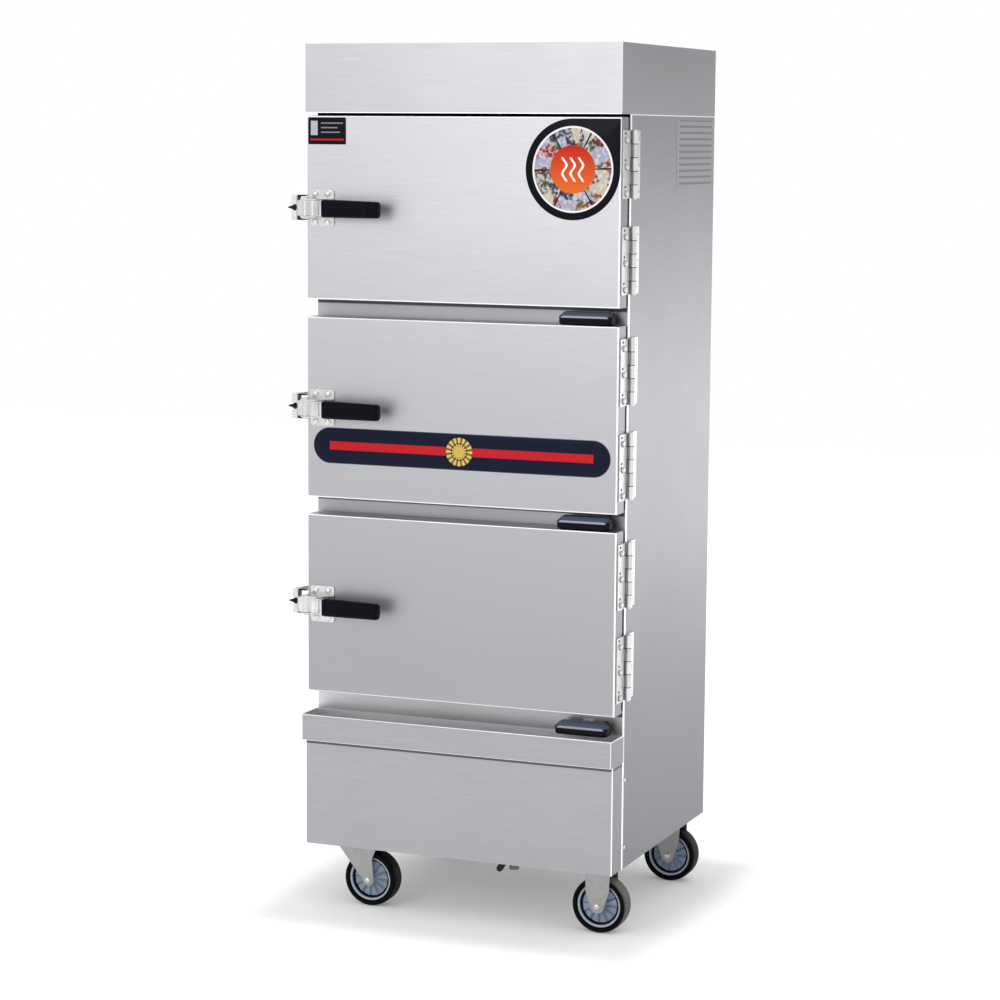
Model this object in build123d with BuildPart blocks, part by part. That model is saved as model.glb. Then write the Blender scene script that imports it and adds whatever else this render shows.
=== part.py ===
from build123d import *
import os

# A three-door steam cabinet on casters, in millimetres.
# While it is drawn, X runs right from the centreline, Y runs back from the door fronts
# and Z runs up from the floor. Each finished piece is then moved so that the origin lies
# on the floor under the middle of the whole outline.

# Casing
CAP_OVERHANG = 1.0
CAP_HEIGHT = 144.0
CAP_UNDERSIDE_RIM = 70.0
SIDE_WALL = 44.0
BACK_WALL = 93.1
SHEET = 1.2
GROUND_CLEARANCE = 136.0
COVER_HEIGHT = 232.0
TROUGH_HEIGHT = 56.0
TROUGH_GAP = 49.0
CAP_GAP = 6.0
BEND_RADIUS = 2.5
PANEL_FLANGE = 14.0
FRAME_SHEET = 1.5
OVERRUN = 5.0

# Doors
DOOR_GAP = 37.0
DOOR_THICKNESS = 43.0
DOOR_LEFT_REVEAL = 3.0
GASKET_THICKNESS = 12.0
GASKET_WIDTH = 14.0
GASKET_INSET = 3.0
SEAL_GAP = 0.4

# Steam chambers
DOOR_LAP = 20.0
LINER_SHEET = 1.0
VENT_RADIUS = 12.5
VENT_PIPE_RADIUS = 14.0
VENT_COLLAR_RADIUS = 18.0
VENT_COLLAR = 3.0
VENT_WALL = 1.5
VENT_DROP = 60.0
VENT_REACH = 22.0

# Trays and their racks
TRAY_COUNT = 4
TRAY_WIDTH = 600.0
TRAY_LENGTH = 400.0
TRAY_DEPTH = 48.0
TRAY_PITCH = 82.0
TRAY_RIM = 13.0
TRAY_SHEET = 1.0
TRAY_CORNER = 22.0
TRAY_FRONT_GAP = 20.0
TRAY_BACK_GAP = 40.0
TRAY_SIDE_GAP = 10.0
TRAY_HEADROOM = 7.0
FIRST_TRAY_LIFT = 12.0
LEDGE_REACH = 22.0
LEDGE_SHEET = 1.2
UPRIGHT_WIDTH = 20.0
UPRIGHT_SHEET = 1.5
RACK_INSET = 30.0
RACK_END_GAP = 5.0

# Steam dampers between the chambers
DAMPER_INSET = 77.0
HANDLE_LENGTH = 118.0
HANDLE_HEIGHT = 26.0
HANDLE_DROPS = (8.0, 4.0, 4.0)
HANDLE_FRONT = 2.0
HANDLE_DEPTH = 42.0
HANDLE_END_RADIUS = 15.0
HANDLE_EDGE_RADIUS = 4.0
HANDLE_BEVEL_HEIGHT = 10.0
HANDLE_BEVEL_DEPTH = 11.0
HANDLE_SOCKET = 16.0
BAR_WIDTH = 24.0
BLADE_SHEET = 3.0
BLADE_WIDTH = 410.0
BLADE_INSET = 10.0
BLADE_LAP = 10.0
PORT_DEPTH = 44.0
PORT_SIDE_LAP = 20.0
PORT_FRONT = 278.0
PORT_LAND = 8.0
DAMPER_TRAVEL = PORT_DEPTH + PORT_LAND
DAMPER_CLEARANCE = 0.5
GUIDE_SHEET = 1.5

# Hinges
HINGE_LENGTH = 138.0
HINGE_END_GAP = 26.5
HINGE_AXIS_OUT = 7.5
HINGE_AXIS_BACK = 62.0
BARREL_RADIUS = 7.0
HINGE_PIN_RADIUS = 3.0
HINGE_PIN_HEAD_RADIUS = 4.6
HINGE_PIN_HEAD = 2.0
KNUCKLES = 5
KNUCKLE_GAP = 0.4
RUNNING_CLEARANCE = 0.05
LEAF_SHEET = 2.5
DOOR_LEAF_FRONT = 8.0
DOOR_LEAF_END = 51.0
BODY_LEAF_START = 71.5
BODY_LEAF_END = 110.0
HINGE_SCREWS = 3
HINGE_SCREW_PITCH = 54.0
HINGE_SCREW_DROP = 4.0
HINGE_SCREW_HEAD_RADIUS = 5.8
HINGE_SCREW_HEAD_HEIGHT = 4.8
SCREW_HEAD_RADIUS = 4.5
SCREW_HEAD_HEIGHT = 2.8
SCREW_RADIUS = 2.0
SCREW_SLACK = 0.1

# Door latches, placed from the door's left edge and front face
LATCH_PLATE_START = 9.0
LATCH_PLATE_WIDTH = 55.0
LATCH_PLATE_HEIGHT = 78.0
LATCH_PLATE = 3.0
LATCH_PLATE_CORNER = 5.0
EAR_OVERHANG = 3.0
EAR_SPREAD = 39.0
EAR_SHEET = 3.0
EAR_REACH = 37.0
EAR_NOSE = 9.0
PIN_BACK_FROM_EDGE = 9.0
PIN_STAND_OFF = 24.0
LATCH_PIN_RADIUS = 4.0
LATCH_PIN_HEAD_RADIUS = 6.5
LATCH_PIN_HEAD = 3.0
LEVER_HUB_RADIUS = 8.5
LEVER_NOSE_RADIUS = 20.0
LEVER_NOSE_WIDTH = 9.0
LEVER_SLACK = 0.4
SECOND_HUB_STEP = 20.0
SECOND_HUB_FORWARD = 4.0
SECOND_HUB_RADIUS = 9.5
GRIP_START = 58.0
GRIP_LENGTH = 129.0
GRIP_STAND_OFF = 42.0
GRIP_HEIGHT = 38.0
GRIP_DEPTH = 25.0
GRIP_CORNER = 9.0
GRIP_SOCKET = 30.0
TANG_HEIGHT = 22.0
TANG_DEPTH = 8.0
BOLT_HEAD_RADIUS = 6.5
BOLT_HEAD_HEIGHT = 4.0
BOLT_RADIUS = 3.0
BOLT_RISE = 30.0
BOLT_SPREAD = 29.0
BOLT_START = 20.5

# Keepers on the left side
KEEPER_GAP = 25.0
KEEPER_WIDTH = 14.0
KEEPER_HEIGHT = 53.0
KEEPER_FRONT = 10.0
KEEPER_SHEET = 3.0
KEEPER_CHEEK_DEPTH = 18.0
KEEPER_NOTCH = 15.0
KEEPER_SHOULDER = 26.0
KEEPER_FOOT_START = 62.0
KEEPER_FOOT_LENGTH = 44.0
KEEPER_FOOT_HEIGHT = 74.0
KEEPER_SCREW_SHARES = (1 / 4, 3 / 4)
KEEPER_SCREW_RISE = 31.0
KEEPER_BOLT_IN = 3.0
KEEPER_POINT = 13.0
KEEPER_CONE_RADIUS = 4.5
KEEPER_POINT_RADIUS = 1.0
KEEPER_NUT_HEIGHT = 7.0
KEEPER_NUT_RADIUS = 6.0

# Lower cover and trough
COVER_PROUD = 3.5
COVER_FLANGE = 15.0
COVER_TAB_START = 35.0
COVER_TAB_END = 88.0
COVER_TAB_HEIGHT = 34.0
COVER_SCREW_BACK = 68.0
COVER_SCREW_RISES = (46.0, 191.0)
TROUGH_PROUD = 21.0
TROUGH_OVERHANG = 2.0

# Base pan, tank and what is in the tank
PAN_RISE = 20.0
PAN_SHEET = 2.0
PAN_FLANGE_HEIGHT = 22.0
TANK_SIDE_GAP = 54.0
TANK_START = 100.0
TANK_BACK_GAP = 80.0
TANK_TOP_GAP = 24.0
TANK_SHEET = 1.5
HEATER_COUNT = 3
HEATER_PITCH = 120.0
HEATER_FIRST_BACK = 95.0
HEATER_RISE = 45.0
HEATER_TUBE_RADIUS = 5.0
HEATER_END_GAP = 100.0
HEATER_LOOP_RADIUS = 30.0
HEATER_BLOCK_LENGTH = 18.0
HEATER_BLOCK_WIDTH = 86.0
HEATER_BLOCK_HEIGHT = 26.0
FLOAT_INSET = 80.0
FLOAT_RISE = 150.0
FLOAT_SHANK_RADIUS = 10.5
FLOAT_NECK_RADIUS = 12.0
FLOAT_NUT_RADIUS = 17.0
FLOAT_NUT = 6.0
FLOAT_INLET_REACH = 22.0
FLOAT_BODY_LENGTH = 40.0
FLOAT_BODY_WIDTH = 30.0
FLOAT_CHEEK = 6.0
FLOAT_PIVOT_DROP = 6.0
FLOAT_PIVOT_FORWARD = 26.0
FLOAT_PIN_RADIUS = 2.5
FLOAT_ARM_RADIUS = 4.0
FLOAT_ARM_LENGTH = 130.0
FLOAT_ARM_DROOP = 20.0
FLOAT_BALL_RADIUS = 38.0
FLOAT_KNUCKLE_RADIUS = 7.0
FLOAT_KNUCKLE_GAP = 0.5

# Drain valve
DRAIN_X = 80.0
DRAIN_BACK = 135.0
DRAIN_PIPE_RADIUS = 11.0
DRAIN_BODY_RADIUS = 16.0
DRAIN_BODY_LENGTH = 30.0
DRAIN_OUTLET_LENGTH = 18.0
DRAIN_DROP = 46.0
DRAIN_BORE = 8.0
DRAIN_STEM_RADIUS = 3.5
DRAIN_SHOULDER_RADIUS = 6.0
DRAIN_NUT_RADIUS = 6.5
DRAIN_NUT = 4.0
DRAIN_LEVER_SLACK = 0.4
LEVER_RISE = 8.0
LEVER_LENGTH = 58.0
LEVER_THICKNESS = 5.0
LEVER_WIDTH = 14.0
LEVER_STEM_START = 6.0
LEVER_REST_ANGLE = 33.0

# Back panel fittings and louvres
GLAND_INSET = 104.0
GLAND_RISE = 90.0
GLAND_RADIUS = 12.0
GLAND_REACH = 22.0
GLAND_INNER = 14.0
GLAND_BORE = 5.5
GLAND_FLANGE_RADIUS = 16.0
GLAND_FLANGE = 4.0
LOUVRE_ROWS = 6
LOUVRE_COLUMNS = 2
LOUVRE_WIDTH = 120.0
LOUVRE_HEIGHT = 6.0
LOUVRE_PITCH = 20.0
LOUVRE_COLUMN_PITCH = 220.0
LOUVRE_RISE = 130.0

# Casters
WHEEL_RADIUS = 60.0
WHEEL_WIDTH = 42.0
TYRE_THICKNESS = 10.0
TYRE_SHOULDER = 4.0
RIM_THICKNESS = 5.0
RIM_WIDTH = 36.0
WEB_THICKNESS = 14.0
HUB_RADIUS = 14.0
HUB_LENGTH = 51.0
WHEEL_RIBS = 12
RIB_HEIGHT = 5.0
RIB_WIDTH = 6.0
AXLE_RADIUS = 5.0
AXLE_HEAD_RADIUS = 7.0
AXLE_HEAD = 5.0
FORK_SLACK = 0.4
FORK_SHEET = 3.0
FORK_LEG_WIDTH = 53.0
FORK_END_RADIUS = 15.0
FORK_TAPER_RISE = 32.0
PLATE_LENGTH = 95.0
RIGID_PLATE_WIDTH = 76.0
SWIVEL_PLATE_WIDTH = 85.0
PLATE_SHEET = 3.0
RIGHT_AXLE_INSET = 41.0
FRONT_AXLE_BACK = 52.0
REAR_AXLE_INSET = 99.0
SWIVEL_INSET = 99.0
SWIVEL_OFFSET = 37.0
SWIVEL_LEG_DROP = 18.0
SWIVEL_CROWN_RADIUS = 36.0
SWIVEL_CROWN_DROP = 8.0
SWIVEL_LEG_FRONT = 20.0
SWIVEL_LEG_BACK = 72.0
SWIVEL_END_RADIUS = 13.0
SWIVEL_THROAT = 9.0
SWIVEL_THROAT_RISE = 48.0
RACE_RADIUS = 31.0
RACE_GAP = 0.3
KING_PIN_RADIUS = 6.0
KING_PIN_HEAD_RADIUS = 10.0
KING_PIN_HEAD = 4.0
PLATE_BOLT_RADIUS = 4.0
PLATE_BOLT_HEAD_RADIUS = 6.5
PLATE_BOLT_HEAD = 5.0
PLATE_BOLT_INSET = 12.0


def span(centre, length):
    """Low and high ends of a length about its centre."""
    return (centre - length / 2, centre + length / 2)


def inset(ends, by):
    """The same span, shorter by the same amount at both ends."""
    return (ends[0] + by, ends[1] - by)


def middle(ends):
    """Centre of a span."""
    return (ends[0] + ends[1]) / 2


def length(ends):
    """Length of a span."""
    return ends[1] - ends[0]


def block(x, y, z, mode=Mode.ADD):
    """A box between two ends on each axis, in the part being built."""
    with Locations((middle(x), middle(y), middle(z))):
        return Box(length(x), length(y), length(z), mode=mode)


def rod(start, direction, radius, reach, mode=Mode.ADD):
    """A round bar from a start point along a direction, in the part being built."""
    with BuildSketch(Plane(origin=start, z_dir=direction)) as section:
        Circle(radius)
    return extrude(section.sketch, amount=reach, mode=mode)


def prism(plane, outline, height, mode=Mode.ADD):
    """A straight-sided outline pulled off its plane, in the part being built."""
    with BuildSketch(plane) as section:
        with BuildLine(plane):
            Polyline(*outline, close=True)
        make_face()
    return extrude(section.sketch, amount=height, mode=mode)


def screw(seat, outward, head_radius, head_height, shank_radius, shank_length):
    """A round-head screw: its head stands on the seat and its shank goes in."""
    inward = tuple(-part for part in outward)
    head = rod(seat, outward, head_radius, head_height)
    tip = head.faces().sort_by(Axis(seat, outward))[-1]
    fillet(tip.edges(), head_height / 2)
    rod(seat, inward, shank_radius, shank_length)


def hex_bolt(seat, outward, head_radius, head_height, shank_radius, shank_length):
    """A hexagon-head bolt: its head stands on the seat and its shank goes in."""
    inward = tuple(-part for part in outward)
    with BuildSketch(Plane(origin=seat, z_dir=outward)) as head:
        RegularPolygon(head_radius, 6)
    extrude(head.sketch, amount=head_height)
    rod(seat, inward, shank_radius, shank_length)


LEFT, RIGHT = (-1, 0, 0), (1, 0, 0)
FORWARD, BACKWARD = (0, -1, 0), (0, 1, 0)
DOWN, UP = (0, 0, -1), (0, 0, 1)

# Levels and spans that several pieces share
LEVELS = ("lower", "middle", "upper")
CHAMBER_WIDTH = TRAY_WIDTH + 2 * TRAY_SIDE_GAP
CHAMBER_DEPTH = TRAY_FRONT_GAP + TRAY_LENGTH + TRAY_BACK_GAP
CHAMBER_HEIGHT = FIRST_TRAY_LIFT + TRAY_COUNT * TRAY_PITCH + TRAY_HEADROOM
DOOR_HEIGHT = CHAMBER_HEIGHT + 2 * DOOR_LAP
BODY_WIDTH = CHAMBER_WIDTH + 2 * SIDE_WALL
CAP_WIDTH = BODY_WIDTH + 2 * CAP_OVERHANG
TROUGH_WIDTH = BODY_WIDTH + 2 * TROUGH_OVERHANG
HINGE_SPREAD = (DOOR_HEIGHT - HINGE_LENGTH) / 2 - HINGE_END_GAP
COVER_Z = (GROUND_CLEARANCE, GROUND_CLEARANCE + COVER_HEIGHT)
TROUGH_Z = (COVER_Z[1], COVER_Z[1] + TROUGH_HEIGHT)
DOOR_Z = [
    (TROUGH_Z[1] + TROUGH_GAP + level * (DOOR_HEIGHT + DOOR_GAP),
     TROUGH_Z[1] + TROUGH_GAP + level * (DOOR_HEIGHT + DOOR_GAP) + DOOR_HEIGHT)
    for level in range(len(LEVELS))
]
CAP_Z = (DOOR_Z[-1][1] + CAP_GAP, DOOR_Z[-1][1] + CAP_GAP + CAP_HEIGHT)
PANEL_Z = (GROUND_CLEARANCE, CAP_Z[0])
BODY_X = span(0, BODY_WIDTH)
INNER_X = inset(BODY_X, SHEET)
DOOR_X = (BODY_X[0] + DOOR_LEFT_REVEAL, BODY_X[1])
DOOR_Y = (0, DOOR_THICKNESS)
GASKET_Y = (DOOR_THICKNESS, DOOR_THICKNESS + GASKET_THICKNESS)
FRAME_Y = (GASKET_Y[1] + SEAL_GAP, GASKET_Y[1] + SEAL_GAP + FRAME_SHEET)
CAP_DEPTH = FRAME_Y[1] + CHAMBER_DEPTH + BACK_WALL
PANEL_Y = (FRAME_Y[0], CAP_DEPTH)
BACK_Y = (CAP_DEPTH - SHEET, CAP_DEPTH)
CHAMBER_X = span(0, CHAMBER_WIDTH)
CHAMBER_Y = (FRAME_Y[1], FRAME_Y[1] + CHAMBER_DEPTH)
CHAMBER_Z = [inset(ends, DOOR_LAP) for ends in DOOR_Z]
FOAM_Z = (CHAMBER_Z[0][0] - (DOOR_GAP + 2 * DOOR_LAP), PANEL_Z[1] - SHEET)
PAN_TOP = GROUND_CLEARANCE + PAN_RISE
TANK_X = inset(BODY_X, TANK_SIDE_GAP)
TANK_Y = (TANK_START, CAP_DEPTH - TANK_BACK_GAP)
TANK_Z = (PAN_TOP, FOAM_Z[0] - TANK_TOP_GAP)
FLOAT_X = TANK_X[0] + FLOAT_INSET
GLAND_X = BODY_X[1] - GLAND_INSET

BLADE_X = (CHAMBER_X[1] - BLADE_INSET - BLADE_WIDTH, CHAMBER_X[1] - BLADE_INSET)
DAMPER_X = BODY_X[1] - DAMPER_INSET
PORT_X = inset(BLADE_X, PORT_SIDE_LAP)
PORT_Y = (PORT_FRONT, PORT_FRONT + PORT_DEPTH)
BLADE_PORT_Y = (PORT_Y[0] + DAMPER_TRAVEL, PORT_Y[1] + DAMPER_TRAVEL)
BLADE_Y = (PORT_Y[0] - BLADE_LAP, BLADE_PORT_Y[1] + BLADE_LAP)
POCKET_X = inset(BLADE_X, -DAMPER_CLEARANCE)
POCKET_Y = (BLADE_Y[0] - DAMPER_TRAVEL - DAMPER_CLEARANCE, BLADE_Y[1] + DAMPER_CLEARANCE)
BAR_X = span(DAMPER_X, BAR_WIDTH)
TUNNEL_X = inset(BAR_X, -DAMPER_CLEARANCE)
HANDLE_Y = (HANDLE_FRONT, HANDLE_FRONT + HANDLE_DEPTH)
DAMPER_Z = [ends[0] - gap / 2 for ends, gap in zip(DOOR_Z, (TROUGH_GAP, DOOR_GAP, DOOR_GAP))]
BLADE_Z = [span(height, BLADE_SHEET) for height in DAMPER_Z]
POCKET_Z = [inset(ends, -DAMPER_CLEARANCE) for ends in BLADE_Z]
GUIDE_Z = [inset(ends, -GUIDE_SHEET) for ends in POCKET_Z]
LINER_Z = [inset(ends, -LINER_SHEET) for ends in CHAMBER_Z]
DUCT_FOOT = [TANK_Z[1], LINER_Z[0][1], LINER_Z[1][1]]

HINGE_X = BODY_X[1] + HINGE_AXIS_OUT
HINGE_Y = HINGE_AXIS_BACK
LEAF_X = (BODY_X[1], BODY_X[1] + LEAF_SHEET)
TONGUE_X = (HINGE_X - BARREL_RADIUS, HINGE_X - BARREL_RADIUS + LEAF_SHEET)
KNUCKLE_PITCH = HINGE_LENGTH / KNUCKLES

LATCH_PIN_X = DOOR_X[0] + PIN_BACK_FROM_EDGE
LATCH_PIN_Y = -PIN_STAND_OFF
GRIP_X = (DOOR_X[0] + GRIP_START, DOOR_X[0] + GRIP_START + GRIP_LENGTH)
KEEPER_X = (BODY_X[0] - KEEPER_GAP - KEEPER_WIDTH, BODY_X[0] - KEEPER_GAP)
KEEPER_FOOT_X = (BODY_X[0] - KEEPER_SHEET, BODY_X[0])
KEEPER_FOOT_Y = (KEEPER_FOOT_START, KEEPER_FOOT_START + KEEPER_FOOT_LENGTH)
KEEPER_NUT_END = KEEPER_X[1] - KEEPER_SHEET - KEEPER_NUT_HEIGHT
KEEPER_TIP_X = KEEPER_NUT_END - KEEPER_POINT

RIGHT_AXLE_X = BODY_X[1] - RIGHT_AXLE_INSET
SWIVEL_X = BODY_X[0] + SWIVEL_INSET
LEFT_AXLE_X = SWIVEL_X + SWIVEL_OFFSET
AXLE_BACKS = (FRONT_AXLE_BACK, CAP_DEPTH - REAR_AXLE_INSET)
PLATE_TOP = PAN_TOP - PAN_SHEET
SWIVEL_CROWN_TOP = PLATE_TOP - PLATE_SHEET - SWIVEL_CROWN_DROP
SWIVEL_LEG_TOP = PLATE_TOP - PLATE_SHEET - SWIVEL_LEG_DROP
FORK_GAP = HUB_LENGTH + 2 * FORK_SLACK

# Outline of the whole cabinet, which sets its origin
OUTLINE_X = (KEEPER_TIP_X, RIGHT_AXLE_X + WHEEL_RADIUS)
OUTLINE_Y = (-GRIP_STAND_OFF - GRIP_DEPTH / 2, CAP_DEPTH + VENT_REACH)
TO_ORIGIN = Location((-middle(OUTLINE_X), -middle(OUTLINE_Y), 0))

os.makedirs("parts", exist_ok=True)


def keep(piece, label):
    """Move a finished piece to the cabinet's origin, label it and write it."""
    piece.part = piece.part.moved(TO_ORIGIN)
    piece.part.label = label
    export_step(piece.part, f"parts/{label}.step")


# Places of the screws, shared by the screws and by the holes they pass through
def hinge_heights(level):
    """Centre heights of a door's two hinges."""
    return [middle(DOOR_Z[level]) + side * HINGE_SPREAD for side in (-1, 1)]


def leaf_screw_heights(level):
    """Heights of the screws in a door's hinge leaves."""
    steps = [step - (HINGE_SCREWS - 1) / 2 for step in range(HINGE_SCREWS)]
    rows = [z - HINGE_SCREW_DROP for z in hinge_heights(level)]
    return [row + step * HINGE_SCREW_PITCH for row in rows for step in steps]


DOOR_SCREW_Y = middle((DOOR_LEAF_FRONT, DOOR_THICKNESS))
BODY_SCREW_Y = middle((BODY_LEAF_START, BODY_LEAF_END))
LATCH_BOLTS = [
    (DOOR_X[0] + BOLT_START + column * BOLT_SPREAD, side * BOLT_RISE)
    for column in range(2)
    for side in (-1, 1)
]
KEEPER_SCREWS = [
    (KEEPER_FOOT_Y[0] + KEEPER_FOOT_LENGTH * share, side * KEEPER_SCREW_RISE)
    for share in KEEPER_SCREW_SHARES
    for side in (-1, 1)
]
COVER_SCREW_HEIGHTS = [GROUND_CLEARANCE + rise for rise in COVER_SCREW_RISES]
HOLE_RADIUS = SCREW_RADIUS + SCREW_SLACK


# Casing: cap, side panels, back panel and front frame
with BuildPart() as top_cap:
    block(span(0, CAP_WIDTH), (0, CAP_DEPTH), CAP_Z)
    fillet(top_cap.edges().filter_by(Axis.Z), BEND_RADIUS)
    cap_inside_x = inset(span(0, CAP_WIDTH), SHEET)
    cap_inside_y = inset((0, CAP_DEPTH), SHEET)
    block(cap_inside_x, cap_inside_y, inset(CAP_Z, SHEET), Mode.SUBTRACT)
    cap_hole = (CAP_Z[0] - OVERRUN, CAP_Z[0] + SHEET)
    rim = CAP_UNDERSIDE_RIM
    block(inset(cap_inside_x, rim), inset(cap_inside_y, rim), cap_hole, Mode.SUBTRACT)
keep(top_cap, "top_cap")


def side_panel(side, holes):
    """A side panel with its top and bottom edges folded in, and its screw holes."""
    outer = side * BODY_WIDTH / 2
    skin = tuple(sorted((outer, outer - side * SHEET)))
    fold = tuple(sorted((outer, outer - side * (SHEET + PANEL_FLANGE))))
    fold_y = (FRAME_Y[1], BACK_Y[0])
    with BuildPart() as panel:
        block(skin, PANEL_Y, PANEL_Z)
        block(fold, fold_y, (PANEL_Z[1] - SHEET, PANEL_Z[1]))
        block(fold, (COVER_TAB_END, BACK_Y[0]), (PANEL_Z[0], PANEL_Z[0] + SHEET))
        for y, z in holes:
            start = (outer + side * OVERRUN, y, z)
            rod(start, (-side, 0, 0), HOLE_RADIUS, 2 * OVERRUN, Mode.SUBTRACT)
    return panel


cover_holes = [(COVER_SCREW_BACK, z) for z in COVER_SCREW_HEIGHTS]
hinge_holes = [(BODY_SCREW_Y, z) for level in range(3) for z in leaf_screw_heights(level)]
keeper_holes = [
    (y, middle(DOOR_Z[level]) + rise) for level in range(3) for y, rise in KEEPER_SCREWS
]
keep(side_panel(-1, cover_holes + keeper_holes), "left_side_panel")
keep(side_panel(1, cover_holes + hinge_holes), "right_side_panel")

VENT_Z = CHAMBER_Z[-1][1] - VENT_DROP
INLET_Z = TANK_Z[0] + FLOAT_RISE
GLAND_Z = GROUND_CLEARANCE + GLAND_RISE
with BuildPart() as back_panel:
    block(INNER_X, BACK_Y, PANEL_Z)
    for x, z, radius in (
        (0, VENT_Z, VENT_PIPE_RADIUS),
        (FLOAT_X, INLET_Z, FLOAT_NECK_RADIUS),
        (GLAND_X, GLAND_Z, GLAND_RADIUS),
    ):
        rod((x, CAP_DEPTH + OVERRUN, z), FORWARD, radius, 2 * OVERRUN, Mode.SUBTRACT)
    louvre_centre = GROUND_CLEARANCE + LOUVRE_RISE
    with BuildSketch(Plane.XZ.offset(-CAP_DEPTH - OVERRUN)) as louvres:
        with Locations((0, louvre_centre)):
            with GridLocations(LOUVRE_COLUMN_PITCH, LOUVRE_PITCH, LOUVRE_COLUMNS, LOUVRE_ROWS):
                SlotOverall(LOUVRE_WIDTH, LOUVRE_HEIGHT)
    extrude(louvres.sketch, amount=2 * OVERRUN, mode=Mode.SUBTRACT)
keep(back_panel, "back_panel")

with BuildPart() as front_frame:
    block(INNER_X, FRAME_Y, (COVER_Z[1], PANEL_Z[1]))
    for level in range(3):
        block(CHAMBER_X, FRAME_Y, CHAMBER_Z[level], Mode.SUBTRACT)
        block(TUNNEL_X, FRAME_Y, POCKET_Z[level], Mode.SUBTRACT)
keep(front_frame, "front_frame")


# Chamber liners, racks and trays
for level, name in enumerate(LEVELS):
    with BuildPart() as liner:
        liner_y = (CHAMBER_Y[0], CHAMBER_Y[1] + LINER_SHEET)
        block(inset(CHAMBER_X, -LINER_SHEET), liner_y, LINER_Z[level])
        block(CHAMBER_X, CHAMBER_Y, CHAMBER_Z[level], Mode.SUBTRACT)
        port_z = (LINER_Z[level][0], CHAMBER_Z[level][0])
        block(PORT_X, PORT_Y, port_z, Mode.SUBTRACT)
        if name == "upper":
            vent = (0, CHAMBER_Y[1], VENT_Z)
            rod(vent, BACKWARD, VENT_PIPE_RADIUS, LINER_SHEET, Mode.SUBTRACT)
        else:
            port_z = (CHAMBER_Z[level][1], LINER_Z[level][1])
            block(PORT_X, PORT_Y, port_z, Mode.SUBTRACT)
    if name == "upper":
        with BuildPart() as vent_pipe:
            vent_length = CAP_DEPTH + VENT_REACH - CHAMBER_Y[1]
            rod(vent, BACKWARD, VENT_PIPE_RADIUS, CAP_DEPTH - CHAMBER_Y[1])
            rod((0, CAP_DEPTH, VENT_Z), BACKWARD, VENT_COLLAR_RADIUS, VENT_COLLAR)
            rod(vent, BACKWARD, VENT_RADIUS, vent_length)
            rod(vent, BACKWARD, VENT_RADIUS - VENT_WALL, vent_length, Mode.SUBTRACT)
        liner.part = Compound(children=[liner.part, vent_pipe.part])
    keep(liner, f"{name}_liner")

TRAY_Y = (CHAMBER_Y[0] + TRAY_FRONT_GAP, CHAMBER_Y[0] + TRAY_FRONT_GAP + TRAY_LENGTH)
LEDGE_Z = [
    CHAMBER_Z[level][0] + FIRST_TRAY_LIFT + TRAY_DEPTH + step * TRAY_PITCH
    for level in range(3)
    for step in range(TRAY_COUNT)
]
with BuildPart() as tray_racks:
    for side in (-1, 1):
        wall = side * CHAMBER_WIDTH / 2
        ledge_x = tuple(sorted((wall, wall - side * LEDGE_REACH)))
        upright_x = tuple(sorted((wall, wall - side * UPRIGHT_SHEET)))
        for height in LEDGE_Z:
            block(ledge_x, TRAY_Y, (height - LEDGE_SHEET, height))
        for level in range(3):
            for y in inset(TRAY_Y, RACK_INSET):
                block(upright_x, span(y, UPRIGHT_WIDTH), inset(CHAMBER_Z[level], RACK_END_GAP))
keep(tray_racks, "tray_racks")

with BuildPart() as steam_trays:
    for height in LEDGE_Z:
        floor = height - TRAY_DEPTH
        pan_width, pan_length = TRAY_WIDTH - 2 * TRAY_RIM, TRAY_LENGTH - 2 * TRAY_RIM
        with BuildSketch(Plane.XY.offset(height)) as rim_sheet:
            with Locations((0, middle(TRAY_Y))):
                RectangleRounded(TRAY_WIDTH, TRAY_LENGTH, TRAY_CORNER)
        extrude(rim_sheet.sketch, amount=TRAY_SHEET)
        with BuildSketch(Plane.XY.offset(floor)) as pan_wall:
            with Locations((0, middle(TRAY_Y))):
                RectangleRounded(pan_width, pan_length, TRAY_CORNER)
        extrude(pan_wall.sketch, amount=TRAY_DEPTH)
        with BuildSketch(Plane.XY.offset(floor + TRAY_SHEET)) as pan_hollow:
            with Locations((0, middle(TRAY_Y))):
                RectangleRounded(
                    pan_width - 2 * TRAY_SHEET,
                    pan_length - 2 * TRAY_SHEET,
                    TRAY_CORNER - TRAY_SHEET,
                )
        extrude(pan_hollow.sketch, amount=TRAY_DEPTH + OVERRUN, mode=Mode.SUBTRACT)
keep(steam_trays, "steam_trays")


# Steam dampers: fixed guides with their ducts, and the sliding blades with their pulls
with BuildPart() as damper_guides:
    for level in range(3):
        guide_front = (FRAME_Y[1], POCKET_Y[0])
        duct_z = (DUCT_FOOT[level], LINER_Z[level][0])
        block(inset(POCKET_X, -GUIDE_SHEET), inset(POCKET_Y, -GUIDE_SHEET), GUIDE_Z[level])
        block(inset(TUNNEL_X, -GUIDE_SHEET), guide_front, GUIDE_Z[level])
        block(inset(PORT_X, -GUIDE_SHEET), inset(PORT_Y, -GUIDE_SHEET), duct_z)
        block(POCKET_X, POCKET_Y, POCKET_Z[level], Mode.SUBTRACT)
        block(TUNNEL_X, guide_front, POCKET_Z[level], Mode.SUBTRACT)
        block(PORT_X, PORT_Y, duct_z, Mode.SUBTRACT)
keep(damper_guides, "damper_guides")

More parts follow.
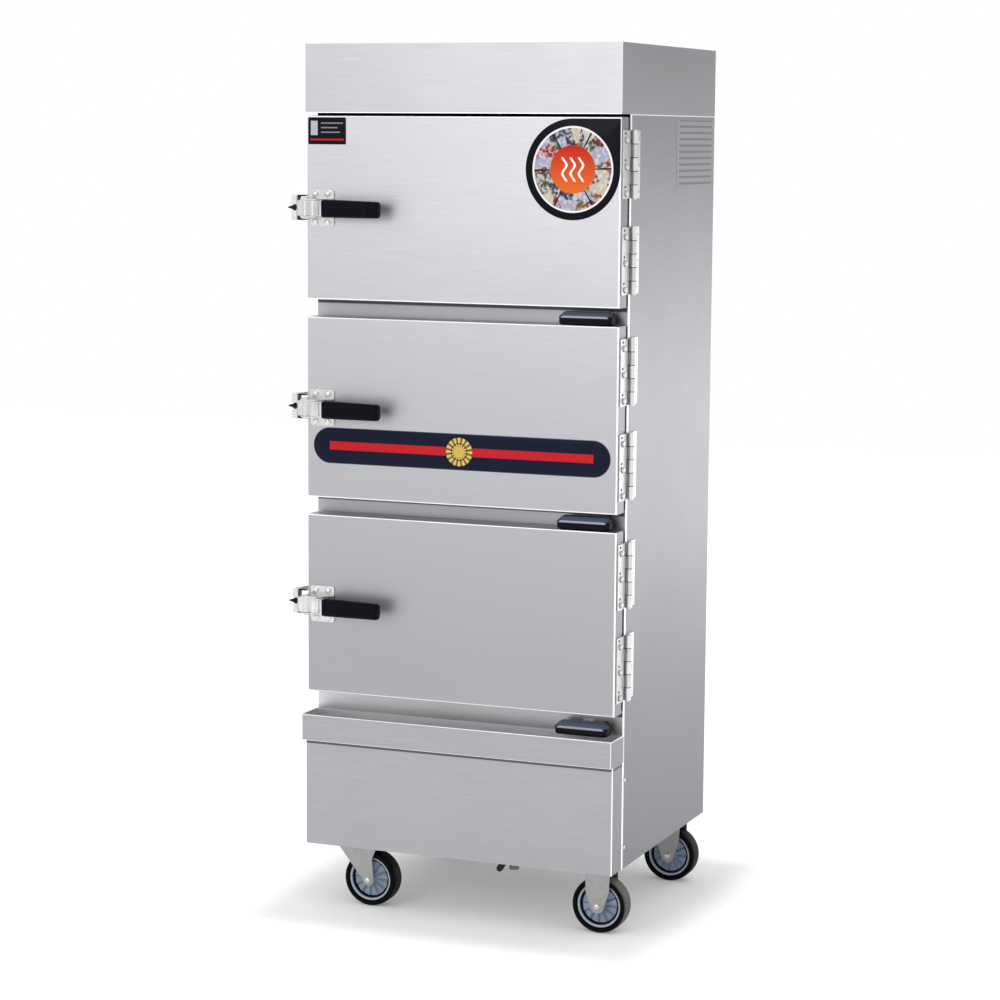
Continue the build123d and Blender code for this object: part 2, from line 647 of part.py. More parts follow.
for level, name in enumerate(LEVELS):
    socket_y = (HANDLE_Y[1] - HANDLE_SOCKET, HANDLE_Y[1])
    with BuildPart() as damper:
        handle_foot = DAMPER_Z[level] - HANDLE_DROPS[level] - HANDLE_HEIGHT / 2
        with BuildSketch(Plane.XY.offset(handle_foot)) as outline:
            with Locations((DAMPER_X, middle(HANDLE_Y))):
                RectangleRounded(HANDLE_LENGTH, HANDLE_DEPTH, HANDLE_END_RADIUS)
        extrude(outline.sketch, amount=HANDLE_HEIGHT)
        under, top = damper.faces().filter_by(Axis.Z).sort_by(Axis.Z)
        fillet(under.edges(), HANDLE_EDGE_RADIUS)
        chamfer(top.edges(), HANDLE_BEVEL_DEPTH, HANDLE_BEVEL_HEIGHT, reference=top)
        block(BAR_X, socket_y, BLADE_Z[level], Mode.SUBTRACT)
    with BuildPart() as blade:
        block(BLADE_X, BLADE_Y, BLADE_Z[level])
        block(PORT_X, BLADE_PORT_Y, BLADE_Z[level], Mode.SUBTRACT)
        block(BAR_X, (socket_y[0], BLADE_Y[0]), BLADE_Z[level])
    damper.part = Compound(children=[damper.part, blade.part])
    keep(damper, f"{name}_steam_damper")


# Foam around the chambers, with room for the guides, ducts and vent
with BuildPart() as insulation:
    block(INNER_X, (FRAME_Y[1], BACK_Y[0]), FOAM_Z)
    for level in range(3):
        liner_y = (CHAMBER_Y[0], CHAMBER_Y[1] + LINER_SHEET)
        guide_front = (FRAME_Y[1], POCKET_Y[0])
        duct_z = (min(DUCT_FOOT[level], FOAM_Z[0]), LINER_Z[level][0])
        pocket_x, pocket_y = inset(POCKET_X, -GUIDE_SHEET), inset(POCKET_Y, -GUIDE_SHEET)
        block(inset(CHAMBER_X, -LINER_SHEET), liner_y, LINER_Z[level], Mode.SUBTRACT)
        block(pocket_x, pocket_y, GUIDE_Z[level], Mode.SUBTRACT)
        block(inset(TUNNEL_X, -GUIDE_SHEET), guide_front, GUIDE_Z[level], Mode.SUBTRACT)
        block(inset(PORT_X, -GUIDE_SHEET), inset(PORT_Y, -GUIDE_SHEET), duct_z, Mode.SUBTRACT)
    rod((0, CHAMBER_Y[1], VENT_Z), BACKWARD, VENT_PIPE_RADIUS, CAP_DEPTH, Mode.SUBTRACT)
keep(insulation, "insulation")


# Doors: shell, inner pan, foam core, gasket and hinge leaves
def knuckle_ends(hinge_centre, index):
    """Bottom and top of one hinge knuckle, with its share of the running gaps."""
    low = hinge_centre - HINGE_LENGTH / 2 + index * KNUCKLE_PITCH
    return inset((low, low + KNUCKLE_PITCH), KNUCKLE_GAP / 2)


def knuckle(ends, tongue_y):
    """One knuckle of the barrel with the tongue that joins it to its leaf."""
    rod((HINGE_X, HINGE_Y, ends[0]), UP, BARREL_RADIUS, length(ends))
    block(TONGUE_X, tongue_y, ends)
    bore = HINGE_PIN_RADIUS + RUNNING_CLEARANCE
    rod((HINGE_X, HINGE_Y, ends[0]), UP, bore, length(ends), Mode.SUBTRACT)


for level, name in enumerate(LEVELS):
    door_z = DOOR_Z[level]
    centre_z = middle(door_z)
    latch_holes = [(x, centre_z + rise) for x, rise in LATCH_BOLTS]
    screw_heights = leaf_screw_heights(level)

    with BuildPart() as shell:
        block(DOOR_X, DOOR_Y, door_z)
        front = shell.faces().sort_by(Axis.Y)[0]
        fillet(front.edges(), BEND_RADIUS)
        hollow_y = (DOOR_Y[0] + SHEET, DOOR_Y[1])
        block(inset(DOOR_X, SHEET), hollow_y, inset(door_z, SHEET), Mode.SUBTRACT)
        for x, z in latch_holes:
            rod((x, -OVERRUN, z), BACKWARD, BOLT_RADIUS, 2 * OVERRUN, Mode.SUBTRACT)
        for z in screw_heights:
            start = (DOOR_X[1] + OVERRUN, DOOR_SCREW_Y, z)
            rod(start, LEFT, HOLE_RADIUS, 2 * OVERRUN, Mode.SUBTRACT)
    keep(shell, f"{name}_door_shell")

    with BuildPart() as inner_pan:
        pan_y = (DOOR_Y[1] - LINER_SHEET, DOOR_Y[1])
        block(inset(DOOR_X, SHEET), pan_y, inset(door_z, SHEET))
    keep(inner_pan, f"{name}_door_liner")

    with BuildPart() as core:
        core_y = (DOOR_Y[0] + SHEET, DOOR_Y[1] - LINER_SHEET)
        block(inset(DOOR_X, SHEET), core_y, inset(door_z, SHEET))
    keep(core, f"{name}_door_core")

    with BuildPart() as gasket:
        ring_x, ring_z = inset(DOOR_X, GASKET_INSET), inset(door_z, GASKET_INSET)
        block(ring_x, GASKET_Y, ring_z)
        inner_x, inner_z = inset(ring_x, GASKET_WIDTH), inset(ring_z, GASKET_WIDTH)
        block(inner_x, GASKET_Y, inner_z, Mode.SUBTRACT)
    keep(gasket, f"{name}_door_gasket")

    with BuildPart() as door_leaves:
        for hinge_z in hinge_heights(level):
            block(LEAF_X, (DOOR_LEAF_FRONT, DOOR_LEAF_END), span(hinge_z, HINGE_LENGTH))
            for index in range(1, KNUCKLES, 2):
                tongue_y = (DOOR_LEAF_END - LEAF_SHEET, HINGE_Y)
                knuckle(knuckle_ends(hinge_z, index), tongue_y)
        for z in screw_heights:
            start = (LEAF_X[1] + OVERRUN, DOOR_SCREW_Y, z)
            rod(start, LEFT, HOLE_RADIUS, 2 * OVERRUN, Mode.SUBTRACT)
    with BuildPart() as door_screws:
        for z in screw_heights:
            seat = (LEAF_X[1], DOOR_SCREW_Y, z)
            screw(seat, RIGHT, HINGE_SCREW_HEAD_RADIUS, HINGE_SCREW_HEAD_HEIGHT,
                  SCREW_RADIUS, LEAF_SHEET + SHEET)
    door_leaves.part = Compound(children=[door_leaves.part, door_screws.part])
    keep(door_leaves, f"{name}_door_hinges")

with BuildPart() as body_leaves:
    for level in range(3):
        for hinge_z in hinge_heights(level):
            block(LEAF_X, (BODY_LEAF_START, BODY_LEAF_END), span(hinge_z, HINGE_LENGTH))
            for index in range(0, KNUCKLES, 2):
                tongue_y = (HINGE_Y, BODY_LEAF_START + LEAF_SHEET)
                knuckle(knuckle_ends(hinge_z, index), tongue_y)
        for z in leaf_screw_heights(level):
            start = (LEAF_X[1] + OVERRUN, BODY_SCREW_Y, z)
            rod(start, LEFT, HOLE_RADIUS, 2 * OVERRUN, Mode.SUBTRACT)
with BuildPart() as hinge_pins:
    for level in range(3):
        for hinge_z in hinge_heights(level):
            barrel = inset(span(hinge_z, HINGE_LENGTH), KNUCKLE_GAP / 2)
            rod((HINGE_X, HINGE_Y, barrel[0]), UP, HINGE_PIN_RADIUS, length(barrel))
            rod((HINGE_X, HINGE_Y, barrel[1]), UP, HINGE_PIN_HEAD_RADIUS, HINGE_PIN_HEAD)
            rod((HINGE_X, HINGE_Y, barrel[0]), DOWN, HINGE_PIN_HEAD_RADIUS, HINGE_PIN_HEAD)
body_leaves.part = Compound(children=[body_leaves.part, hinge_pins.part])
keep(body_leaves, "hinge_body_leaves")


# Door latches: a bolted base with two ears, and the lever that turns on the pin between
EAR_FRONT = -EAR_REACH
LEVER_HEIGHT = EAR_SPREAD - 2 * (EAR_SHEET + LEVER_SLACK)
LATCH_X = (DOOR_X[0] + LATCH_PLATE_START, DOOR_X[0] + LATCH_PLATE_START + LATCH_PLATE_WIDTH)
EAR_X = (DOOR_X[0] - EAR_OVERHANG, LATCH_X[1])

for level, name in enumerate(LEVELS):
    centre_z = middle(DOOR_Z[level])
    pin_foot = (LATCH_PIN_X, LATCH_PIN_Y, centre_z - EAR_SPREAD / 2)

    with BuildPart() as latch_base:
        with BuildSketch(Plane.XZ) as plate:
            with Locations((middle(LATCH_X), centre_z)):
                RectangleRounded(LATCH_PLATE_WIDTH, LATCH_PLATE_HEIGHT, LATCH_PLATE_CORNER)
        extrude(plate.sketch, amount=LATCH_PLATE)
        for ear_foot in (centre_z - EAR_SPREAD / 2, centre_z + EAR_SPREAD / 2 - EAR_SHEET):
            ear = [
                (LATCH_X[0], -LATCH_PLATE),
                (EAR_X[0], -LATCH_PLATE - EAR_NOSE),
                (EAR_X[0], EAR_FRONT + EAR_NOSE),
                (EAR_X[0] + EAR_NOSE, EAR_FRONT),
                (middle(LATCH_X), EAR_FRONT),
                (EAR_X[1], -LATCH_PLATE - EAR_NOSE),
                (EAR_X[1], -LATCH_PLATE),
            ]
            prism(Plane.XY.offset(ear_foot), ear, EAR_SHEET)
        rod(pin_foot, UP, LATCH_PIN_RADIUS, EAR_SPREAD, Mode.SUBTRACT)
        for x, rise in LATCH_BOLTS:
            start = (x, -LATCH_PLATE - OVERRUN, centre_z + rise)
            rod(start, BACKWARD, BOLT_RADIUS, 2 * OVERRUN, Mode.SUBTRACT)
    with BuildPart() as latch_pin:
        rod(pin_foot, UP, LATCH_PIN_RADIUS, EAR_SPREAD)
        rod(pin_foot, DOWN, LATCH_PIN_HEAD_RADIUS, LATCH_PIN_HEAD)
        pin_top = (LATCH_PIN_X, LATCH_PIN_Y, centre_z + EAR_SPREAD / 2)
        rod(pin_top, UP, LATCH_PIN_HEAD_RADIUS, LATCH_PIN_HEAD)
    with BuildPart() as latch_bolts:
        for x, rise in LATCH_BOLTS:
            seat = (x, -LATCH_PLATE, centre_z + rise)
            hex_bolt(seat, FORWARD, BOLT_HEAD_RADIUS, BOLT_HEAD_HEIGHT, BOLT_RADIUS,
                     LATCH_PLATE + SHEET)
    latch_base.part = Compound(children=[latch_base.part, latch_pin.part, latch_bolts.part])
    keep(latch_base, f"{name}_latch_base")

    lever_foot = Plane.XY.offset(centre_z - LEVER_HEIGHT / 2)
    second_hub = (LATCH_PIN_X + SECOND_HUB_STEP, LATCH_PIN_Y - SECOND_HUB_FORWARD)
    tang_y = span(-GRIP_STAND_OFF, TANG_DEPTH)
    with BuildPart() as lever:
        with BuildSketch(lever_foot) as hub_outline:
            with Locations((LATCH_PIN_X, LATCH_PIN_Y)):
                Circle(LEVER_HUB_RADIUS)
            with Locations(second_hub):
                Circle(SECOND_HUB_RADIUS)
            with Locations((LATCH_PIN_X - LEVER_NOSE_RADIUS / 2, LATCH_PIN_Y)):
                SlotOverall(LEVER_NOSE_RADIUS, LEVER_NOSE_WIDTH)
            with BuildLine():
                Polyline(
                    (LATCH_PIN_X, LATCH_PIN_Y + LEVER_HUB_RADIUS),
                    (LATCH_PIN_X, LATCH_PIN_Y - LEVER_HUB_RADIUS / 2),
                    (second_hub[0], second_hub[1] - SECOND_HUB_RADIUS / 2),
                    (GRIP_X[0], tang_y[0]),
                    (GRIP_X[0], tang_y[1]),
                    (second_hub[0], second_hub[1] + SECOND_HUB_RADIUS / 2),
                    close=True,
                )
            make_face()
        extrude(hub_outline.sketch, amount=LEVER_HEIGHT)
        tang_x = (GRIP_X[0] - LEAF_SHEET, GRIP_X[0] + GRIP_SOCKET)
        block(tang_x, tang_y, span(centre_z, TANG_HEIGHT))
        bore = LATCH_PIN_RADIUS + RUNNING_CLEARANCE
        rod(pin_foot, UP, bore, EAR_SPREAD, Mode.SUBTRACT)
    keep(lever, f"{name}_latch_lever")

    with BuildPart() as grip:
        with BuildSketch(Plane.YZ.offset(GRIP_X[0])) as grip_section:
            with Locations((-GRIP_STAND_OFF, centre_z)):
                RectangleRounded(GRIP_DEPTH, GRIP_HEIGHT, GRIP_CORNER)
        extrude(grip_section.sketch, amount=GRIP_LENGTH)
        far_end = grip.faces().sort_by(Axis.X)[-1]
        fillet(far_end.edges(), BEND_RADIUS)
        socket_x = (GRIP_X[0], GRIP_X[0] + GRIP_SOCKET)
        block(socket_x, tang_y, span(centre_z, TANG_HEIGHT), Mode.SUBTRACT)
    keep(grip, f"{name}_latch_grip")


# Keepers on the left side panel, each with its adjusting bolt
KEEPER_BOLT_Y = KEEPER_FRONT + KEEPER_SHEET / 2
CHEEK_X = (KEEPER_X[1] - KEEPER_SHEET, KEEPER_X[1])
CHEEK_Y = (KEEPER_FRONT, KEEPER_FRONT + KEEPER_CHEEK_DEPTH)
with BuildPart() as latch_keepers:
    for level in range(3):
        centre_z = middle(DOOR_Z[level])
        web_z = span(centre_z, KEEPER_HEIGHT)
        block(KEEPER_X, (KEEPER_FRONT, KEEPER_FRONT + KEEPER_SHEET), web_z)
        block(KEEPER_X, CHEEK_Y, span(centre_z, KEEPER_NOTCH), Mode.SUBTRACT)
        block(CHEEK_X, CHEEK_Y, web_z)
        arm = [
            (KEEPER_X[0], KEEPER_FRONT),
            (KEEPER_FOOT_X[0], KEEPER_FRONT),
            (KEEPER_FOOT_X[0], KEEPER_FOOT_Y[0]),
            (KEEPER_FOOT_X[1], KEEPER_FOOT_Y[0]),
            (KEEPER_FOOT_X[1], KEEPER_FOOT_Y[1]),
            (KEEPER_FOOT_X[0], KEEPER_FOOT_Y[1]),
            (KEEPER_X[0], KEEPER_FRONT + KEEPER_SHOULDER),
        ]
        for arm_foot in (web_z[0], web_z[1] - KEEPER_SHEET):
            prism(Plane.XY.offset(arm_foot), arm, KEEPER_SHEET)
        block(KEEPER_FOOT_X, KEEPER_FOOT_Y, span(centre_z, KEEPER_FOOT_HEIGHT))
        cheek_hole = (CHEEK_X[0], KEEPER_BOLT_Y, centre_z)
        rod(cheek_hole, RIGHT, BOLT_RADIUS, KEEPER_SHEET, Mode.SUBTRACT)
        for y, rise in KEEPER_SCREWS:
            start = (KEEPER_FOOT_X[0] - OVERRUN, y, centre_z + rise)
            rod(start, RIGHT, HOLE_RADIUS, 2 * OVERRUN, Mode.SUBTRACT)
with BuildPart() as keeper_bolts:
    for level in range(3):
        seat = (CHEEK_X[0], KEEPER_BOLT_Y, middle(DOOR_Z[level]))
        bolt_start = (CHEEK_X[1] + KEEPER_BOLT_IN, seat[1], seat[2])
        point_start = (KEEPER_NUT_END, seat[1], seat[2])
        hex_bolt(seat, LEFT, KEEPER_NUT_RADIUS, KEEPER_NUT_HEIGHT, BOLT_RADIUS, KEEPER_SHEET)
        rod(bolt_start, LEFT, BOLT_RADIUS, bolt_start[0] - point_start[0])
        with BuildSketch(Plane(origin=point_start, z_dir=LEFT)) as wide_end:
            Circle(KEEPER_CONE_RADIUS)
        with BuildSketch(Plane(origin=point_start, z_dir=LEFT).offset(KEEPER_POINT)) as narrow_end:
            Circle(KEEPER_POINT_RADIUS)
        loft([wide_end.sketch, narrow_end.sketch])
latch_keepers.part = Compound(children=[latch_keepers.part, keeper_bolts.part])
keep(latch_keepers, "latch_keepers")


# Lower cover and trough
with BuildPart() as lower_cover:
    block(BODY_X, (-COVER_PROUD, PANEL_Y[0]), COVER_Z)
    front = lower_cover.faces().sort_by(Axis.Y)[0]
    fillet(front.edges().filter_by(Axis.Z), BEND_RADIUS)
    inside_y = (-COVER_PROUD + SHEET, PANEL_Y[0])
    block(INNER_X, inside_y, inset(COVER_Z, SHEET), Mode.SUBTRACT)
    open_y = (-COVER_PROUD + COVER_FLANGE, PANEL_Y[0])
    block(inset(BODY_X, COVER_FLANGE), open_y, COVER_Z, Mode.SUBTRACT)
    for side in (-1, 1):
        face = side * length(INNER_X) / 2
        tab_x = tuple(sorted((face, face - side * SHEET)))
        for height in COVER_SCREW_HEIGHTS:
            tab_z = span(height, COVER_TAB_HEIGHT)
            block(tab_x, (COVER_TAB_START, COVER_TAB_END), tab_z)
            start = (face - side * OVERRUN, COVER_SCREW_BACK, height)
            rod(start, (side, 0, 0), HOLE_RADIUS, 2 * OVERRUN, Mode.SUBTRACT)
keep(lower_cover, "lower_cover")

with BuildPart() as drip_trough:
    trough_x = span(0, TROUGH_WIDTH)
    trough_y = (-TROUGH_PROUD, FRAME_Y[0])
    block(trough_x, trough_y, TROUGH_Z)
    front = drip_trough.faces().sort_by(Axis.Y)[0]
    fillet(front.edges().filter_by(Axis.Z), BEND_RADIUS)
    inside_z = (TROUGH_Z[0] + SHEET, TROUGH_Z[1])
    block(inset(trough_x, SHEET), inset(trough_y, SHEET), inside_z, Mode.SUBTRACT)
keep(drip_trough, "drip_trough")

# Machine compartment: base pan, water tank, heaters, float valve and drain
PAN_Y = (-COVER_PROUD + SHEET, BACK_Y[0])
PAN_Z = (PAN_TOP - PAN_SHEET, PAN_TOP)
FLANGE_Z = (PAN_Z[0], PAN_Z[1] + PAN_FLANGE_HEIGHT)
PLATE_HOLES = [
    (centre_x + side_x * (width / 2 - PLATE_BOLT_INSET),
     back + side_y * (PLATE_LENGTH / 2 - PLATE_BOLT_INSET))
    for centre_x, width in ((RIGHT_AXLE_X, RIGID_PLATE_WIDTH), (SWIVEL_X, SWIVEL_PLATE_WIDTH))
    for back in AXLE_BACKS
    for side_x in (-1, 1)
    for side_y in (-1, 1)
]
with BuildPart() as base_pan:
    block(INNER_X, PAN_Y, PAN_Z)
    flange_y = (COVER_TAB_END + OVERRUN, PAN_Y[1])
    block((INNER_X[0], INNER_X[0] + PAN_SHEET), flange_y, FLANGE_Z)
    block((INNER_X[1] - PAN_SHEET, INNER_X[1]), flange_y, FLANGE_Z)
    block(INNER_X, (PAN_Y[1] - PAN_SHEET, PAN_Y[1]), FLANGE_Z)
    rod((DRAIN_X, DRAIN_BACK, PAN_Z[0]), UP, DRAIN_PIPE_RADIUS, PAN_SHEET, Mode.SUBTRACT)
    for x, y in PLATE_HOLES:
        rod((x, y, PAN_Z[0]), UP, PLATE_BOLT_RADIUS, PAN_SHEET, Mode.SUBTRACT)
keep(base_pan, "base_pan")

HEATER_Z = TANK_Z[0] + HEATER_RISE
HEATER_BACKS = [TANK_Y[0] + HEATER_FIRST_BACK + n * HEATER_PITCH for n in range(HEATER_COUNT)]
LEG_SIDES = (-HEATER_LOOP_RADIUS, HEATER_LOOP_RADIUS)
TUB_Z = (TANK_Z[0], TANK_Z[1] - TANK_SHEET)
with BuildPart() as tank_lid:
    block(TANK_X, TANK_Y, (TUB_Z[1], TANK_Z[1]))
    block(PORT_X, PORT_Y, (TUB_Z[1], TANK_Z[1]), Mode.SUBTRACT)
with BuildPart() as water_tank:
    block(TANK_X, TANK_Y, TUB_Z)
    water_z = (TANK_Z[0] + TANK_SHEET, TUB_Z[1])
    block(inset(TANK_X, TANK_SHEET), inset(TANK_Y, TANK_SHEET), water_z, Mode.SUBTRACT)
    for back in HEATER_BACKS:
        for leg in LEG_SIDES:
            start = (TANK_X[1] - TANK_SHEET, back + leg, HEATER_Z)
            rod(start, RIGHT, HEATER_TUBE_RADIUS, TANK_SHEET, Mode.SUBTRACT)
    shank_start = (FLOAT_X, TANK_Y[1] - TANK_SHEET, INLET_Z)
    rod(shank_start, BACKWARD, FLOAT_NECK_RADIUS, TANK_SHEET, Mode.SUBTRACT)
    rod((DRAIN_X, DRAIN_BACK, TANK_Z[0]), UP, DRAIN_BORE, TANK_SHEET, Mode.SUBTRACT)
water_tank.part = Compound(children=[water_tank.part, tank_lid.part])
keep(water_tank, "water_tank")

with BuildPart() as heating_elements:
    for back in HEATER_BACKS:
        far_x = TANK_X[0] + HEATER_END_GAP
        with BuildLine() as hairpin:
            near = [(TANK_X[1], back + leg, HEATER_Z) for leg in LEG_SIDES]
            far = [(far_x, back + leg, HEATER_Z) for leg in LEG_SIDES]
            Line(near[0], far[0])
            ThreePointArc(far[0], (far_x - HEATER_LOOP_RADIUS, back, HEATER_Z), far[1])
            Line(far[1], near[1])
        with BuildSketch(Plane(origin=near[0], z_dir=LEFT)) as tube:
            Circle(HEATER_TUBE_RADIUS)
        sweep(tube.sketch, path=hairpin.wires()[0])
        block_x = (TANK_X[1], TANK_X[1] + HEATER_BLOCK_LENGTH)
        block(block_x, span(back, HEATER_BLOCK_WIDTH), span(HEATER_Z, HEATER_BLOCK_HEIGHT))
keep(heating_elements, "heating_elements")

FLOAT_BODY_Y = (TANK_Y[1] - TANK_SHEET - FLOAT_BODY_LENGTH, TANK_Y[1] - TANK_SHEET)
PIVOT = (FLOAT_X, FLOAT_BODY_Y[0] - FLOAT_PIVOT_FORWARD / 2, INLET_Z - FLOAT_PIVOT_DROP)
CHEEK_GAP = (FLOAT_BODY_WIDTH - 2 * FLOAT_CHEEK)
with BuildPart() as float_valve:
    body_x = span(FLOAT_X, FLOAT_BODY_WIDTH)
    body_z = span(INLET_Z, FLOAT_BODY_WIDTH)
    block(body_x, FLOAT_BODY_Y, body_z)
    cheek_y = (FLOAT_BODY_Y[0] - FLOAT_PIVOT_FORWARD, FLOAT_BODY_Y[0])
    block(body_x, cheek_y, body_z)
    block(span(FLOAT_X, CHEEK_GAP), cheek_y, body_z, Mode.SUBTRACT)
    shank_length = CAP_DEPTH + FLOAT_INLET_REACH - FLOAT_BODY_Y[1]
    rod((FLOAT_X, FLOAT_BODY_Y[1], INLET_Z), BACKWARD, FLOAT_SHANK_RADIUS, shank_length)
    neck_length = CAP_DEPTH - FLOAT_BODY_Y[1]
    rod((FLOAT_X, FLOAT_BODY_Y[1], INLET_Z), BACKWARD, FLOAT_NECK_RADIUS, neck_length)
    with BuildSketch(Plane(origin=(FLOAT_X, CAP_DEPTH, INLET_Z), z_dir=BACKWARD)) as back_nut:
        RegularPolygon(FLOAT_NUT_RADIUS, 6)
    extrude(back_nut.sketch, amount=FLOAT_NUT)
    pin_start = (body_x[0], PIVOT[1], PIVOT[2])
    rod(pin_start, RIGHT, FLOAT_PIN_RADIUS, FLOAT_BODY_WIDTH)
keep(float_valve, "float_valve")

with BuildPart() as float_arm:
    knuckle_width = CHEEK_GAP - 2 * FLOAT_KNUCKLE_GAP
    knuckle_start = (FLOAT_X - knuckle_width / 2, PIVOT[1], PIVOT[2])
    rod(knuckle_start, RIGHT, FLOAT_KNUCKLE_RADIUS, knuckle_width)
    arm_direction = Vector(FORWARD).rotate(Axis.X, FLOAT_ARM_DROOP)
    rod(PIVOT, tuple(arm_direction), FLOAT_ARM_RADIUS, FLOAT_ARM_LENGTH)
    ball_centre = Vector(PIVOT) + arm_direction * (FLOAT_ARM_LENGTH + FLOAT_BALL_RADIUS / 2)
    with Locations(ball_centre):
        Sphere(FLOAT_BALL_RADIUS)
    pin_bore = FLOAT_PIN_RADIUS + RUNNING_CLEARANCE
    rod(knuckle_start, RIGHT, pin_bore, knuckle_width, Mode.SUBTRACT)
keep(float_arm, "float_arm")

DRAIN_FOOT = GROUND_CLEARANCE - DRAIN_DROP
DRAIN_BODY_FOOT = DRAIN_FOOT + DRAIN_OUTLET_LENGTH
DRAIN_BODY_Z = (DRAIN_BODY_FOOT, DRAIN_BODY_FOOT + DRAIN_BODY_LENGTH)
LEVER_PIVOT_Z = middle(DRAIN_BODY_Z) + LEVER_RISE
LEVER_Y = DRAIN_BACK - DRAIN_BODY_RADIUS - LEVER_STEM_START
with BuildPart() as drain_valve:
    foot = (DRAIN_X, DRAIN_BACK, DRAIN_FOOT)
    rod(foot, UP, DRAIN_PIPE_RADIUS, TANK_Z[0] - DRAIN_FOOT)
    rod((DRAIN_X, DRAIN_BACK, DRAIN_BODY_Z[0]), UP, DRAIN_BODY_RADIUS, DRAIN_BODY_LENGTH)
    stem_start = (DRAIN_X, DRAIN_BACK, LEVER_PIVOT_Z)
    nut_y = LEVER_Y - LEVER_THICKNESS - DRAIN_LEVER_SLACK
    shoulder_length = DRAIN_BACK - LEVER_Y - DRAIN_LEVER_SLACK
    rod(stem_start, FORWARD, DRAIN_SHOULDER_RADIUS, shoulder_length)
    rod(stem_start, FORWARD, DRAIN_STEM_RADIUS, DRAIN_BACK - nut_y)
    rod((DRAIN_X, nut_y, LEVER_PIVOT_Z), FORWARD, DRAIN_NUT_RADIUS, DRAIN_NUT)
    rod(foot, UP, DRAIN_BORE, TANK_Z[0] - DRAIN_FOOT, Mode.SUBTRACT)
keep(drain_valve, "drain_valve")

with BuildPart() as drain_lever:
    with BuildSketch(Plane.XZ.offset(-LEVER_Y)) as lever_outline:
        with Locations(Location((DRAIN_X, LEVER_PIVOT_Z), -90 - LEVER_REST_ANGLE)):
            with Locations((LEVER_LENGTH / 2 - LEVER_WIDTH / 2, 0)):
                SlotOverall(LEVER_LENGTH, LEVER_WIDTH)
    extrude(lever_outline.sketch, amount=LEVER_THICKNESS)
    stem_hole = (DRAIN_X, LEVER_Y, LEVER_PIVOT_Z)
    bore = DRAIN_STEM_RADIUS + RUNNING_CLEARANCE
    rod(stem_hole, FORWARD, bore, LEVER_THICKNESS, Mode.SUBTRACT)
keep(drain_lever, "drain_lever")

with BuildPart() as cable_gland:
    gland_start = (GLAND_X, BACK_Y[0] - GLAND_INNER, GLAND_Z)
    rod(gland_start, BACKWARD, GLAND_RADIUS, GLAND_INNER + SHEET + GLAND_REACH)
    rod((GLAND_X, BACK_Y[1], GLAND_Z), BACKWARD, GLAND_FLANGE_RADIUS, GLAND_FLANGE)
    rod((GLAND_X, BACK_Y[0], GLAND_Z), FORWARD, GLAND_FLANGE_RADIUS, GLAND_FLANGE)
    rod(gland_start, BACKWARD, GLAND_BORE, CAP_DEPTH, Mode.SUBTRACT)
keep(cable_gland, "cable_gland")


# Casters: rigid forks on the right, swivel forks on the left, and four wheels
def leg_outline(axle_x, left, right, end_radius):
    """Fork leg seen from the front: its two sides, top to bottom, and a round end."""
    axle_left, axle_right = (axle_x - end_radius, WHEEL_RADIUS), (axle_x + end_radius, WHEEL_RADIUS)
    with BuildSketch() as leg:
        with BuildLine():
            Polyline(axle_left, *reversed(left), *right, axle_right)
            ThreePointArc(axle_right, (axle_x, WHEEL_RADIUS - end_radius), axle_left)
        make_face()
    return leg.sketch


def both_legs(outline, back):
    """The two legs of a fork, either side of its wheel."""
    for inner in (back - FORK_GAP / 2 - FORK_SHEET, back + FORK_GAP / 2):
        plane = Plane.XZ.offset(-inner - FORK_SHEET)
        extrude(plane * outline, amount=FORK_SHEET)


def axle(axle_x, back):
    """Axle bolt with a domed head and a nut outside the fork."""
    reach = FORK_GAP + 2 * FORK_SHEET
    start = (axle_x, back - reach / 2, WHEEL_RADIUS)
    end = (axle_x, back + reach / 2, WHEEL_RADIUS)
    rod(start, BACKWARD, AXLE_RADIUS, reach)
    rod(start, FORWARD, AXLE_HEAD_RADIUS, AXLE_HEAD)
    rod(end, BACKWARD, AXLE_HEAD_RADIUS, AXLE_HEAD)


def axle_holes(axle_x, back):
    """Holes for the axle in both legs."""
    reach = FORK_GAP + 2 * FORK_SHEET
    start = (axle_x, back - reach / 2, WHEEL_RADIUS)
    rod(start, BACKWARD, AXLE_RADIUS, reach, Mode.SUBTRACT)


def plate_holes(centre_x, width, back):
    """Bolt holes in a caster plate."""
    for x, y in PLATE_HOLES:
        if abs(x - centre_x) < width and abs(y - back) < PLATE_LENGTH:
            start = (x, y, PLATE_TOP - PLATE_SHEET)
            rod(start, UP, PLATE_BOLT_RADIUS, PLATE_SHEET, Mode.SUBTRACT)


PLATE_Z = (PLATE_TOP - PLATE_SHEET, PLATE_TOP)
with BuildPart() as rigid_forks:
    for back in AXLE_BACKS:
        block(span(RIGHT_AXLE_X, RIGID_PLATE_WIDTH), span(back, PLATE_LENGTH), PLATE_Z)
        taper_z = WHEEL_RADIUS + FORK_TAPER_RISE
        left, right = span(RIGHT_AXLE_X, FORK_LEG_WIDTH)
        left_side = [(left, PLATE_Z[0]), (left, taper_z)]
        right_side = [(right, PLATE_Z[0]), (right, taper_z)]
        both_legs(leg_outline(RIGHT_AXLE_X, left_side, right_side, FORK_END_RADIUS), back)
        axle_holes(RIGHT_AXLE_X, back)
        plate_holes(RIGHT_AXLE_X, RIGID_PLATE_WIDTH, back)
with BuildPart() as rigid_axles:
    for back in AXLE_BACKS:
        axle(RIGHT_AXLE_X, back)
rigid_forks.part = Compound(children=[rigid_forks.part, rigid_axles.part])
keep(rigid_forks, "rigid_caster_forks")

